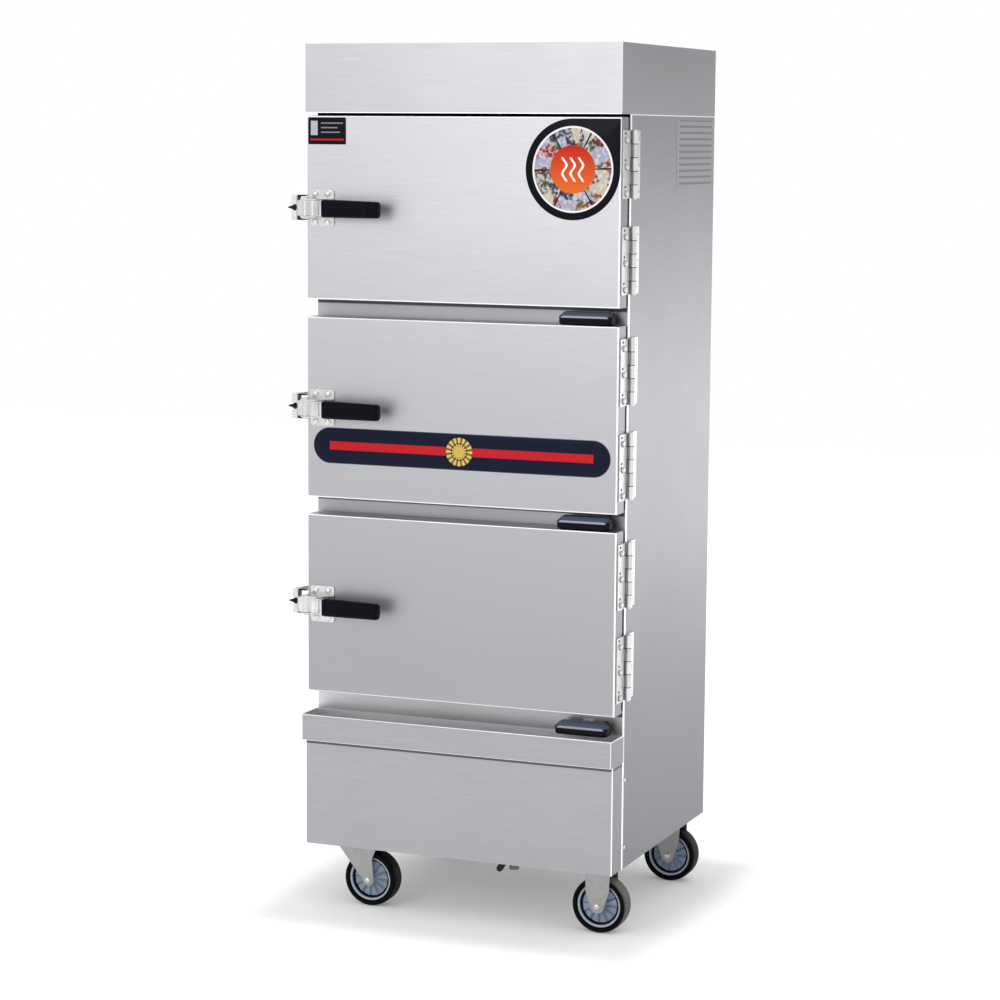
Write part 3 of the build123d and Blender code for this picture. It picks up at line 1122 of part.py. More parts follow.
CROWN_TOP = SWIVEL_CROWN_TOP
with BuildPart() as swivel_plates:
    for back in AXLE_BACKS:
        block(span(SWIVEL_X, SWIVEL_PLATE_WIDTH), span(back, PLATE_LENGTH), PLATE_Z)
        race_foot = CROWN_TOP + RACE_GAP
        rod((SWIVEL_X, back, race_foot), UP, RACE_RADIUS, PLATE_Z[0] - race_foot)
        pin_foot = SWIVEL_LEG_TOP - FORK_SHEET - RACE_GAP
        rod((SWIVEL_X, back, pin_foot), UP, KING_PIN_RADIUS, PLATE_Z[0] - pin_foot)
        rod((SWIVEL_X, back, pin_foot), DOWN, KING_PIN_HEAD_RADIUS, KING_PIN_HEAD)
        plate_holes(SWIVEL_X, SWIVEL_PLATE_WIDTH, back)
keep(swivel_plates, "swivel_caster_plates")

for end, back in zip(("front", "rear"), AXLE_BACKS):
    with BuildPart() as swivel_fork:
        top_left = LEFT_AXLE_X - SWIVEL_LEG_BACK
        top_right = LEFT_AXLE_X + SWIVEL_LEG_FRONT
        throat = (LEFT_AXLE_X + SWIVEL_THROAT, WHEEL_RADIUS + SWIVEL_THROAT_RISE)
        left_side = [(top_left, SWIVEL_LEG_TOP)]
        right_side = [(top_right, SWIVEL_LEG_TOP), throat]
        profile = leg_outline(LEFT_AXLE_X, left_side, right_side, SWIVEL_END_RADIUS)
        both_legs(profile, back)
        bridge_z = (SWIVEL_LEG_TOP - FORK_SHEET, SWIVEL_LEG_TOP)
        block((top_left, top_right), span(back, FORK_GAP + 2 * FORK_SHEET), bridge_z)
        crown_foot = (SWIVEL_X, back, SWIVEL_LEG_TOP)
        rod(crown_foot, UP, SWIVEL_CROWN_RADIUS, CROWN_TOP - SWIVEL_LEG_TOP)
        bore_foot = (SWIVEL_X, back, bridge_z[0])
        bore = KING_PIN_RADIUS + RUNNING_CLEARANCE
        rod(bore_foot, UP, bore, CROWN_TOP - bridge_z[0], Mode.SUBTRACT)
        axle_holes(LEFT_AXLE_X, back)
    with BuildPart() as swivel_axle:
        axle(LEFT_AXLE_X, back)
    swivel_fork.part = Compound(children=[swivel_fork.part, swivel_axle.part])
    keep(swivel_fork, f"{end}_swivel_fork")

RIM_RADIUS = WHEEL_RADIUS - TYRE_THICKNESS
for side, axle_x in (("left", LEFT_AXLE_X), ("right", RIGHT_AXLE_X)):
    for end, back in zip(("front", "rear"), AXLE_BACKS):
        across = Plane(origin=(axle_x, back, WHEEL_RADIUS), x_dir=(0, 1, 0), z_dir=RIGHT)
        with BuildPart() as hub:
            with BuildSketch(across) as hub_section:
                half_bore = AXLE_RADIUS + RUNNING_CLEARANCE
                web_height = RIM_RADIUS - half_bore
                with Locations((0, half_bore + web_height / 2)):
                    Rectangle(WEB_THICKNESS, web_height)
                with Locations((0, (half_bore + HUB_RADIUS) / 2)):
                    Rectangle(HUB_LENGTH, HUB_RADIUS - half_bore)
                with Locations((0, RIM_RADIUS - RIM_THICKNESS / 2)):
                    Rectangle(RIM_WIDTH, RIM_THICKNESS)
            axis = Axis((axle_x, back, WHEEL_RADIUS), (0, 1, 0))
            revolve(hub_section.sketch, axis=axis)
            rib_reach = RIM_RADIUS - RIM_THICKNESS - HUB_RADIUS
            rib_middle = HUB_RADIUS + rib_reach / 2
            rib_face = Plane(origin=(axle_x, back, WHEEL_RADIUS), x_dir=(1, 0, 0), z_dir=FORWARD)
            with BuildSketch(rib_face) as ribs:
                with PolarLocations(rib_middle, WHEEL_RIBS):
                    Rectangle(rib_reach + RIB_WIDTH / 2, RIB_WIDTH)
            extrude(ribs.sketch, amount=WEB_THICKNESS / 2 + RIB_HEIGHT, both=True)
        with BuildPart() as tyre:
            with BuildSketch(across) as tyre_section:
                with Locations((0, WHEEL_RADIUS - TYRE_THICKNESS / 2)):
                    Rectangle(WHEEL_WIDTH, TYRE_THICKNESS)
                outer = tyre_section.vertices().group_by(Axis.Z)[-1]
                chamfer(outer, TYRE_SHOULDER)
            revolve(tyre_section.sketch, axis=axis)
        hub.part = Compound(children=[hub.part, tyre.part])
        keep(hub, f"{end}_{side}_wheel")


# Screws that hold the leaves, keepers and cover, and the bolts of the caster plates
with BuildPart() as fasteners:
    head, height, shank = SCREW_HEAD_RADIUS, SCREW_HEAD_HEIGHT, SCREW_RADIUS
    for level in range(3):
        for z in leaf_screw_heights(level):
            seat = (LEAF_X[1], BODY_SCREW_Y, z)
            screw(seat, RIGHT, HINGE_SCREW_HEAD_RADIUS, HINGE_SCREW_HEAD_HEIGHT, shank,
                  LEAF_SHEET + SHEET)
        for y, rise in KEEPER_SCREWS:
            seat = (KEEPER_FOOT_X[0], y, middle(DOOR_Z[level]) + rise)
            screw(seat, LEFT, head, height, shank, KEEPER_SHEET + SHEET)
    for z in COVER_SCREW_HEIGHTS:
        screw((BODY_X[0], COVER_SCREW_BACK, z), LEFT, head, height, shank, 2 * SHEET)
        screw((BODY_X[1], COVER_SCREW_BACK, z), RIGHT, head, height, shank, 2 * SHEET)
    for x, y in PLATE_HOLES:
        seat = (x, y, PLATE_Z[0])
        hex_bolt(seat, DOWN, PLATE_BOLT_HEAD_RADIUS, PLATE_BOLT_HEAD, PLATE_BOLT_RADIUS,
                 PLATE_SHEET + PAN_SHEET)
keep(fasteners, "fasteners")
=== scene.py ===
# %% [markdown]
# # Dressing a steam cabinet
# The solids of this cabinet are already true to size: every sheet, hinge, latch and wheel has its
# place. What is missing is how they look. This lesson loads them, gives each sheet its brushed
# steel, and adds the surfaces that a plain solid can't show: moulded grips, rubber tyres, fanned
# wheel discs, bulb seals, domed bolts and printed films.

# %% Load the solids
import bpy
import numpy as np
from mathutils import Matrix, Vector


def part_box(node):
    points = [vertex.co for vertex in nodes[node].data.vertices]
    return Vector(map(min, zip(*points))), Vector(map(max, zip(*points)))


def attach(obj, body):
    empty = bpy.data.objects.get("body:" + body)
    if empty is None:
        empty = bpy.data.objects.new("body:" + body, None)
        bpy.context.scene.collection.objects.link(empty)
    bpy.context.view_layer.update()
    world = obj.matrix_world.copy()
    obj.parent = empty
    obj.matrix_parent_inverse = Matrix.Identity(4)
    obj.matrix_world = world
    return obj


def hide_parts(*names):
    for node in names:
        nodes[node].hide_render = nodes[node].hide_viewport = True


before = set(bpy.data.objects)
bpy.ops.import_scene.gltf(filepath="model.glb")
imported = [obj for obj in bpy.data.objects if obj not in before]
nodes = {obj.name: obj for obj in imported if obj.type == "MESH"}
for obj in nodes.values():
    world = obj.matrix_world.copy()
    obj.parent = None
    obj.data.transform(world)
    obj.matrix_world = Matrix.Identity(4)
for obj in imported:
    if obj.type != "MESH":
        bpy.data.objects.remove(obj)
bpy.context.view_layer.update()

LEVELS = ("lower", "middle", "upper")

# %% [markdown]
# ## Working in the maker's millimetres
# A sheet-metal drawing starts at the middle of the front, on the floor. The loaded frame starts
# under the middle of the whole outline, so one shift, read from the top cap, joins the two. All
# places below are written in millimetres from the drawing's own origin.

# %% From millimetres to the frame
X, Y, Z = 0, 1, 2
cap_low, cap_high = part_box("top_cap")
SHIFT = np.array([(cap_low.x + cap_high.x) / 2, cap_low.y, 0.0])


def place(millimetres):
    """Points in drawing millimetres, divided by 1000 and moved by the shift, in metres."""
    return np.asarray(millimetres, float) / 1000 + SHIFT


def place_on(axis, millimetres):
    """The same for one place on one axis."""
    return millimetres / 1000 + SHIFT[axis]


def drawn_box(node):
    """Lowest and highest corner of a solid, back in drawing millimetres."""
    low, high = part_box(node)
    return (np.array(low) - SHIFT) * 1000, (np.array(high) - SHIFT) * 1000


door_boxes = {level: drawn_box(f"{level}_door_shell") for level in LEVELS}
door_middles = {level: (low[2] + high[2]) / 2 for level, (low, high) in door_boxes.items()}
body_left, body_right = drawn_box("lower_cover")[0][0], drawn_box("lower_cover")[1][0]
cap_drawn = drawn_box("top_cap")
cap_top = cap_drawn[1][2]
print("shift in metres", SHIFT, "door centre heights in mm", door_middles)

# %% [markdown]
# ## Surfaces from grids
# Nearly every pressed, moulded or turned piece is a closed curve carried along a line. So one
# helper takes a grid of points, one row for each station and one column for each step round the
# section, and closes it: across the seam, and at each end with a fan to a middle point. The signed
# volume tells whether the faces point outwards.

# %% Grid to closed shape
def once_round(steps):
    """Angles of one turn in even steps, without the last, which is the first again."""
    return np.linspace(0, 2 * np.pi, steps, endpoint=False)


def closed_shape(grid, ring=False):
    """Points and faces of a tube whose sections are the grid's rows.

    Each quad joins (i, j), (i+1, j), (i+1, j+1), (i, j+1), with j wrapping round the section and i
    wrapping too for a ring. Otherwise each end is a fan to the mean of its row. If the sum of
    a . (b x c) / 6 over the triangles is negative, every face is turned over.
    """
    rows, columns = grid.shape[:2]
    points = grid.reshape(-1, 3)
    i, j = np.meshgrid(np.arange(rows if ring else rows - 1), np.arange(columns), indexing="ij")
    i, j = i.ravel(), j.ravel()
    after_i, after_j = (i + 1) % rows, (j + 1) % columns
    quads = np.stack([i * columns + j, after_i * columns + j,
                      after_i * columns + after_j, i * columns + after_j], axis=1)
    fans = np.zeros((0, 3), int)
    if not ring:
        around = np.arange(columns)
        onward = (around + 1) % columns
        last = (rows - 1) * columns
        first_tip, last_tip = len(points), len(points) + 1
        fans = np.concatenate([
            np.stack([np.full(columns, first_tip), around, onward], axis=1),
            np.stack([np.full(columns, last_tip), last + onward, last + around], axis=1)])
        points = np.concatenate([points, [grid[0].mean(axis=0)], [grid[-1].mean(axis=0)]])
    triangles = np.concatenate([quads[:, [0, 1, 2]], quads[:, [0, 2, 3]], fans])
    a, b, c = (points[triangles[:, k]] - points.mean(axis=0) for k in range(3))
    if np.einsum("ij,ij->i", a, np.cross(b, c)).sum() < 0:
        quads, fans = quads[:, ::-1], fans[:, ::-1]
    return points, quads, fans


def mesh_object(name, points, faces, finish):
    """A mesh in the scene, from points in metres and faces, with one finish."""
    mesh = bpy.data.meshes.new(name)
    mesh.from_pydata(np.asarray(points).tolist(), [], faces)
    mesh.materials.append(finish)
    made = bpy.data.objects.new(name, mesh)
    bpy.context.scene.collection.objects.link(made)
    return made


def make_piece(name, shapes, body, finish, stands_for=(), sharp_angle=35):
    """One object from several closed shapes, riding on a body, with its finish, hiding the solids
    it stands for.
    """
    starts = np.cumsum([0] + [len(points) for points, quads, fans in shapes])
    points = place(np.concatenate([points for points, quads, fans in shapes]))
    faces = [face for (p, quads, fans), start in zip(shapes, starts)
             for group in (quads, fans) for face in (group + start).tolist()]
    piece = mesh_object(name, points, faces, finish)
    piece.data.polygons.foreach_set("use_smooth", np.ones(len(faces), bool))
    piece.data.set_sharp_from_angle(angle=np.radians(sharp_angle))
    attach(piece, body)
    if stands_for:
        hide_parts(*stands_for)
    print(name, len(faces), "faces, size in mm", np.round(1000 * np.ptp(points, axis=0), 1))


def rounded_loop(width, height, radius, steps=8):
    """Corner centres and outward directions of a rounded rectangle.

    With the angle t going once round, the centre of the corner is (width/2 - radius, height/2 -
    radius) times the signs of (cos t, sin t), and the outline is the centre plus the radius times
    (cos t, sin t). Each quarter turn has a t at both of its ends, on the axes, so the signs are
    those of its middle, where none is zero.
    """
    count = 4 * steps
    t = (np.arange(count) + 0.5) * 2 * np.pi / count
    quarter = np.floor(t / (np.pi / 2))
    within = (t - quarter * np.pi / 2 - np.pi / count) / (np.pi / 2 - 2 * np.pi / count)
    t = (quarter + within) * np.pi / 2
    middle = (quarter + 0.5) * np.pi / 2
    signs = np.stack([np.sign(np.cos(middle)), np.sign(np.sin(middle))], axis=1)
    half = np.array([width / 2 - radius, height / 2 - radius])
    return signs * half, np.stack([np.cos(t), np.sin(t)], axis=1)


def carried_round(width, height, corner, section, steps=8):
    """A section of (outward, rise) rows carried round a rounded rectangle.

    Gives the places across, up and along the rise, with a row for each step round the rectangle.
    """
    corners, directions = rounded_loop(width, height, corner, steps)
    flat = corners[:, None] + (corner + section[:, 0])[None, :, None] * directions[:, None]
    return flat[..., 0], flat[..., 1], section[:, 1] + 0 * flat[..., 0]


def turned(profile, centre, axis, steps=32, swell=None):
    """A lathe piece: profile rows are (distance along the axis, radius).

    Each point is centre + along * axis + radius * (cos t * side + sin t * other), where side and
    other are square to the axis, and swell(t, row) may change the radius round the piece.
    """
    profile = np.asarray(profile, float)
    axis = np.asarray(axis, float)
    side = np.cross(axis, [0.0, 0.0, 1.0]) if abs(axis[2]) < 0.9 else np.array([1.0, 0.0, 0.0])
    side = side / np.linalg.norm(side)
    other = np.cross(axis, side)
    t = once_round(steps)[None, :]
    radius = profile[:, 1:2] * np.ones_like(t)
    if swell is not None:
        radius = radius * swell(t, profile[:, 1:2])
    grid = (np.asarray(centre, float) + profile[:, 0][:, None, None] * axis
            + radius[..., None] * (np.cos(t)[..., None] * side + np.sin(t)[..., None] * other))
    return closed_shape(grid)


# %% [markdown]
# ## Colours and nodes
# Colours are picked from the object as sRGB, but light is added up in linear values, so one
# function turns the hex value into linear. One more adds a node, sets its own choices, and either
# fills or links each of its inputs. Every finish begins with the same steps and most end with the
# same ones too, so those have a function each.

# %% Colour and node helpers
def linear(hex_colour):
    """sRGB to linear: c / 12.92 up to 0.04045, and ((c + 0.055) / 1.055) to the 2.4 above it."""
    srgb = np.array([int(hex_colour[k:k + 2], 16) for k in (1, 3, 5)]) / 255
    curved = ((srgb + 0.055) / 1.055) ** 2.4
    return (*np.where(srgb <= 0.04045, srgb / 12.92, curved).tolist(), 1.0)


def add(tree, kind, inputs=None, **choices):
    """One node with its choices set, and each input linked to an output or filled with a value.

    A value that is text is a hex colour.
    """
    node = tree.nodes.new(kind)
    for name, value in choices.items():
        setattr(node, name, value)
    for name, value in (inputs or {}).items():
        if isinstance(value, bpy.types.NodeSocket):
            tree.links.new(value, node.inputs[name])
        else:
            node.inputs[name].default_value = linear(value) if isinstance(value, str) else value
    return node


def begin_finish(name, roughness, metallic=0.0, **sockets):
    """A new material with its shader's constant sockets set, and its object coordinates."""
    material = bpy.data.materials.new(name)
    material.use_nodes = True
    tree = material.node_tree
    shader = tree.nodes["Principled BSDF"]
    shader.inputs["Roughness"].default_value = roughness
    shader.inputs["Metallic"].default_value = metallic
    for socket, value in sockets.items():
        shader.inputs[socket.replace("_", " ")].default_value = value
    coordinates = add(tree, "ShaderNodeTexCoord").outputs["Object"]
    return material, tree, shader, coordinates


def end_finish(tree, shader, colour_out, patches, roughness_ends, texture, strength, depth_mm):
    """Link the colour, a roughness that wanders over the patches, and a bump of a given depth."""
    tree.links.new(colour_out, shader.inputs["Base Color"])
    rough = add(tree, "ShaderNodeMapRange", {"Value": patches, "From Min": 0.3, "From Max": 0.7,
                                             "To Min": roughness_ends[0],
                                             "To Max": roughness_ends[1]})
    tree.links.new(rough.outputs[0], shader.inputs["Roughness"])
    bump = add(tree, "ShaderNodeBump", {"Height": texture, "Strength": strength,
                                        "Distance": depth_mm / 1000})
    tree.links.new(bump.outputs[0], shader.inputs["Normal"])


def step_between(tree, value, low, high, soft=0.4):
    """1 between two limits and 0 outside: the product of a rising and a falling ramp."""
    rising = add(tree, "ShaderNodeMapRange", {"Value": value, "From Min": low - soft,
                                              "From Max": low + soft})
    falling = add(tree, "ShaderNodeMapRange", {"Value": value, "From Min": high - soft,
                                               "From Max": high + soft, "To Min": 1.0,
                                               "To Max": 0.0})
    return add(tree, "ShaderNodeMath", {0: rising.outputs[0], 1: falling.outputs[0]},
               operation="MULTIPLY").outputs[0]


def layered(tree, under, *layers):
    """A colour with layers over it. A layer is (colour, mask), and the mask is its strength."""
    for colour, mask in layers:
        under = add(tree, "ShaderNodeMix", {0: mask, 6: under, 7: colour},
                    data_type="RGBA").outputs[2]
    return under


def painted_light_and_shade(tree, colour_out, coordinates, washes, stripes):
    """A colour with washes, then stripes, of painted light and shade laid over it.

    A wash is (axis, from, to, colour): the colour comes in along the axis between two places in
    mm. A stripe is (axis, centre, half width, colour).
    """
    parted = add(tree, "ShaderNodeSeparateXYZ", {"Vector": coordinates})
    for axis, start_mm, end_mm, wash_colour in washes:
        ramp = add(tree, "ShaderNodeMapRange",
                   {"Value": parted.outputs[axis], "From Min": place_on(axis, start_mm),
                    "From Max": place_on(axis, end_mm)})
        colour_out = layered(tree, colour_out, (wash_colour, ramp.outputs[0]))
    for axis, centre_mm, half_width, stripe_colour in stripes:
        low, high = (place_on(axis, centre_mm + side * half_width) for side in (-1, 1))
        stripe = step_between(tree, parted.outputs[axis], low, high, half_width / 4000)
        colour_out = layered(tree, colour_out, (stripe_colour, stripe))
    return colour_out


def fold_highlight_mask(tree, parted, fold):
    """Strength of one fold's painted highlight: (axis, place, other axis, other place, half width)
    in mm.

    The distance from the line is the larger of the distances along both axes, and the strength
    falls smoothly from 1 to 0 between half of the half width and all of it.
    """
    axis, place_mm, other_axis, other_mm, half_width = fold
    distances = []
    for one_axis, one_mm in ((axis, place_mm), (other_axis, other_mm)):
        away = add(tree, "ShaderNodeMath",
                   {0: parted.outputs[one_axis], 1: place_on(one_axis, one_mm)},
                   operation="SUBTRACT")
        distances.append(add(tree, "ShaderNodeMath", {0: away.outputs[0]},
                             operation="ABSOLUTE").outputs[0])
    distance = add(tree, "ShaderNodeMath", {0: distances[0], 1: distances[1]},
                   operation="MAXIMUM")
    return add(tree, "ShaderNodeMapRange",
               {"Value": distance.outputs[0], "From Min": half_width / 2000,
                "From Max": half_width / 1000, "To Min": 1.0, "To Max": 0.0},
               interpolation_type="SMOOTHSTEP").outputs[0]


# %% [markdown]
# ## The casing: brushed stainless sheet
# The cap, doors, side panels and cover are type 201 stainless, brushed in one direction with grit
# belts and folded on a press brake. Brushing leaves scratches a few tenths of a millimetre wide
# and several centimetres long, which blur reflections into a soft satin. A noise that is long
# along the brushing and very short across it gives that grain. It is drawn 1.5 mm wide, coarser
# than the real 0.3 mm, because a pixel of the portrait covers about 2 mm. Along each fold the
# colour gets a narrow white line, a painted highlight where the bend would catch the light, and
# the sheets carry painted light and shade as washes and stripes.

# %% Brushed sheet
GRAIN_LENGTH_MM, GRAIN_DEPTH_MM = 90.0, 0.02


def brushed_sheet(name, colour, roughness, fold_highlights=(), grain_mm=1.5, washes=(), stripes=()):
    """Stainless sheet with horizontal brushing, and washes, stripes and fold highlights of painted
    light and shade.

    Washes and stripes are as in painted_light_and_shade, a fold highlight is as in
    fold_highlight_mask, and where fold highlights meet, the strongest counts.
    """
    material, tree, shader, coordinates = begin_finish(name, roughness, 1.0)
    across, along = 1000 / grain_mm, 1000 / GRAIN_LENGTH_MM
    stretched = add(tree, "ShaderNodeMapping", {"Vector": coordinates,
                                               "Scale": (along, along, across)})
    grain = add(tree, "ShaderNodeTexNoise", {"Vector": stretched.outputs[0], "Scale": 1.0,
                                             "Detail": 4.0, "Roughness": 0.6})
    smears = add(tree, "ShaderNodeTexNoise", {"Vector": coordinates, "Scale": 4.0,
                                              "Detail": 2.0, "Roughness": 0.5})
    base = np.array(linear(colour))
    darker, lighter = base * 0.93, np.minimum(base * 1.06, 1.0)
    darker[3] = lighter[3] = 1.0
    tone = add(tree, "ShaderNodeMapRange", {"Value": grain.outputs["Fac"], "From Min": 0.3,
                                            "From Max": 0.7})
    cloud = add(tree, "ShaderNodeMapRange", {"Value": smears.outputs["Fac"], "From Min": 0.35,
                                             "From Max": 0.65, "To Max": 0.15})
    colour_out = layered(tree, tuple(darker), (tuple(lighter), tone.outputs[0]),
                         (tuple(darker), cloud.outputs[0]))
    colour_out = painted_light_and_shade(tree, colour_out, coordinates, washes, stripes)
    parted = add(tree, "ShaderNodeSeparateXYZ", {"Vector": coordinates})
    # Painted highlights: white along each fold, where the strongest fold counts.
    strength = None
    for fold in fold_highlights:
        one = fold_highlight_mask(tree, parted, fold)
        strength = one if strength is None else add(
            tree, "ShaderNodeMath", {0: strength, 1: one}, operation="MAXIMUM").outputs[0]
    if strength is not None:
        colour_out = layered(tree, colour_out, ("#FFFFFF", strength))
    end_finish(tree, shader, colour_out, smears.outputs["Fac"],
               (roughness - 0.01, roughness + 0.02), grain.outputs["Fac"], 0.25, GRAIN_DEPTH_MM)
    return material


def dress(finish, *names):
    """Give solids one finish, in every slot that their objects have."""
    for name in names:
        solid = nodes[name]
        if not solid.material_slots:
            solid.data.materials.append(finish)
        for material_slot in solid.material_slots:
            material_slot.material = finish
    print(finish.name, "on", *names)


CASING, SIDE_SHADE = "#BDBDC1", "#8E8E93"
CASING_ROUGHNESS, SKIN = 0.42, 0.8


def front_fold_highlights(low, high, left, right, bottom, top=0.0):
    """Painted highlights along the folds round a front face: half widths for its left, right,
    bottom and top edges.
    """
    edges = [(X, low[0], left), (X, high[0], right), (Z, low[2], bottom), (Z, high[2], top)]
    return [(axis, place_mm, Y, low[1], width) for axis, place_mm, width in edges if width]


# A side face that is turned away from the lamp is a stripe of painted shade as thin as its own
# sheet's skin, and a wash of painted shade darkens the doors a little toward the floor, as where
# one lamp hangs high.
for level in LEVELS:
    low, high = door_boxes[level]
    dress(brushed_sheet(f"{level}_door_brushed_stainless", CASING, CASING_ROUGHNESS,
                        front_fold_highlights(low, high, 1.8, 3.4, 3.6, 3.0),
                        washes=[(Z, 1500.0, 560.0, "#A2A2A6")],
                        stripes=[(X, high[0], SKIN, SIDE_SHADE)]), f"{level}_door_shell")

# The side panels are the same steel as the doors, given a darker tone as painted shade for sheet
# turned from the lamp, and two washes of painted shade darken them toward the floor. The 12 mm fold
# highlight on the front edge is a painted highlight.
panel_low, panel_high = drawn_box("right_side_panel")
panel_fold_highlights = [(Y, panel_low[1], X, body_right, 12.0), (Z, panel_high[2], X, body_right, 2.4),
               (Y, panel_low[1], X, body_left, 3.0), (Z, panel_high[2], X, body_left, 2.4)]
panel_steel = brushed_sheet("side_panel_brushed_stainless", "#9C9CA1", 0.45, panel_fold_highlights,
                            washes=[(Z, 1350.0, 136.0, "#8D8D92"),
                                    (Z, 800.0, 136.0, "#838388")])
# The cap's right side face is a stripe of painted shade, and its fold highlights are painted.
cap_steel = brushed_sheet("cap_brushed_stainless", "#B6B6BA", CASING_ROUGHNESS,
                          front_fold_highlights(*cap_drawn, 1.4, 2.0, 1.8),
                          stripes=[(X, cap_drawn[1][0], SKIN, "#A9A9AD")])
# The cover's right side face is a stripe of painted shade, and a 6 mm stripe of painted shadow runs
# 6.6 mm under its top edge, just under the trough.
cover_low, cover_high = drawn_box("lower_cover")
COVER_SHADOW_DOWN, COVER_SHADOW_HALF = 6.6, 3.0
cover_steel = brushed_sheet("cover_brushed_stainless", "#A7A7AB", CASING_ROUGHNESS,
                            front_fold_highlights(cover_low, cover_high, 0.8, 2.6, 0.0),
                            stripes=[(X, body_right, SKIN, SIDE_SHADE),
                                     (Z, cover_high[2] - COVER_SHADOW_DOWN, COVER_SHADOW_HALF,
                                      "#5C5C60")])
# Behind its front face the trough is painted lighter, a painted highlight on its rim and inside,
# and its two side faces are stripes of painted shade.
trough_low, trough_high = drawn_box("drip_trough")
trough_steel = brushed_sheet("trough_brushed_stainless", "#A5A5A9", CASING_ROUGHNESS,
                             front_fold_highlights(trough_low, trough_high, 1.8, 1.8, 0.8),
                             washes=[(Y, trough_low[1] + 0.8, trough_low[1] + 1.1, "#E6E6E8")],
                             stripes=[(X, trough_high[0], SKIN, SIDE_SHADE),
                                      (X, trough_low[0], SKIN, "#9C9CA1")])
# Painted shade on the frame: a dark stripe in the gap under the cap, a painted shadow under each
# door's bottom edge, and washes that darken it toward the right and upward from 470 mm.
frame_painted_shadows = [(Z, cap_drawn[0][2] - 2.0, 6.0, "#08080A")]
frame_painted_shadows += [(Z, door_boxes[level][0][2] - 5.0, 5.0, "#4A4A4E") for level in LEVELS]
frame_steel = brushed_sheet("frame_brushed_stainless", "#CCCCCE", 0.4,
                            washes=[(X, -330.0, -60.0, "#B4B4B6"),
                                    (Z, 470.0, 880.0, "#A6A6A9")], stripes=frame_painted_shadows)
back_steel = brushed_sheet("back_panel_brushed_stainless", "#ACACAF", 0.46)
dress(cap_steel, "top_cap")
dress(panel_steel, "left_side_panel", "right_side_panel")
dress(back_steel, "back_panel")
dress(frame_steel, "front_frame")
dress(cover_steel, "lower_cover")
dress(trough_steel, "drip_trough")

# %% [markdown]
# ## Inside: bright sheet that lives in steam
# The chambers, trays and tank are thinner bright-annealed stainless. They are left as rolled, so
# they mirror more than the casing, and steam leaves a faint chalky bloom in patches. The same
# sheet function serves, with a finer grain and lower roughness.

# %% Inner sheets
chamber_steel = brushed_sheet("chamber_bright_stainless", "#C2C3C4", 0.3, grain_mm=2.5)
tray_steel = brushed_sheet("tray_bright_stainless", "#CACBCC", 0.26, grain_mm=3.0)
tank_steel = brushed_sheet("tank_bright_stainless", "#B8B9BA", 0.34, grain_mm=2.5)
for level in LEVELS:
    dress(chamber_steel, f"{level}_liner", f"{level}_door_liner")
dress(tray_steel, "steam_trays", "tray_racks")
dress(tank_steel, "damper_guides", "water_tank", "base_pan")

# %% [markdown]
# ## Small metal: cast, plated, turned and pressed
# Hinges are pressed satin stainless, the latches are polished castings, the caster forks are
# pressed steel with bright zinc plating, and the float valve is turned brass. All are metals, so
# the colour is in the reflection. What tells them apart is the tint, how rough they are, and a
# blotchy or grainy change of both, so one function makes them from a real blotch size.

# %% Small metals
def small_metal(name, colour, shade, roughness, blotch_mm, stripes=()):
    """A metal whose colour wanders between two tones over blotches of a given size.

    Stripes are as on the sheets.
    """
    material, tree, shader, coordinates = begin_finish(name, roughness, 1.0)
    blotches = add(tree, "ShaderNodeTexNoise", {"Vector": coordinates, "Scale": 1000 / blotch_mm,
                                                "Detail": 5.0, "Roughness": 0.55})
    spread = add(tree, "ShaderNodeMapRange", {"Value": blotches.outputs["Fac"],
                                              "From Min": 0.15, "From Max": 0.85})
    colour_out = layered(tree, shade, (colour, spread.outputs[0]))
    colour_out = painted_light_and_shade(tree, colour_out, coordinates, (), stripes)
    end_finish(tree, shader, colour_out, blotches.outputs["Fac"],
               (roughness + 0.04, roughness - 0.03), blotches.outputs["Fac"], 0.3, GRAIN_DEPTH_MM)
    return material


hinge_steel = small_metal("hinge_satin_stainless", "#E4E4E4", "#D2D2D3", 0.34, 14)
# A stripe of painted shadow darkens each door leaf along the hinge barrel.
BARREL_SHADE, BARREL_SHADE_HALF = 53.4, 1.5
leaf_steel = small_metal("hinge_leaf_satin_stainless", "#DADADA", "#C6C6C7", 0.34, 14,
                         stripes=[(Y, BARREL_SHADE, BARREL_SHADE_HALF, "#3A3A3C")])
latch_steel = small_metal("latch_polished_casting", "#DEDEDE", "#BCBCBD", 0.26, 16)
# The keeper's two arms are in the shadow of the door and the latch. Its web and its plate aren't.
KEEPER_EDGE, KEEPER_PLATE = body_left - 25.5, body_left - 3.2
keeper_steel = small_metal("keeper_satin_stainless", "#DADADA", "#C4C4C4", 0.34, 16,
                           stripes=[(X, (KEEPER_EDGE + KEEPER_PLATE) / 2,
                                     (KEEPER_PLATE - KEEPER_EDGE) / 2, "#101012")])
screw_steel = small_metal("screw_bright_stainless", "#E2E2E0", "#BEBEBC", 0.2, 4)
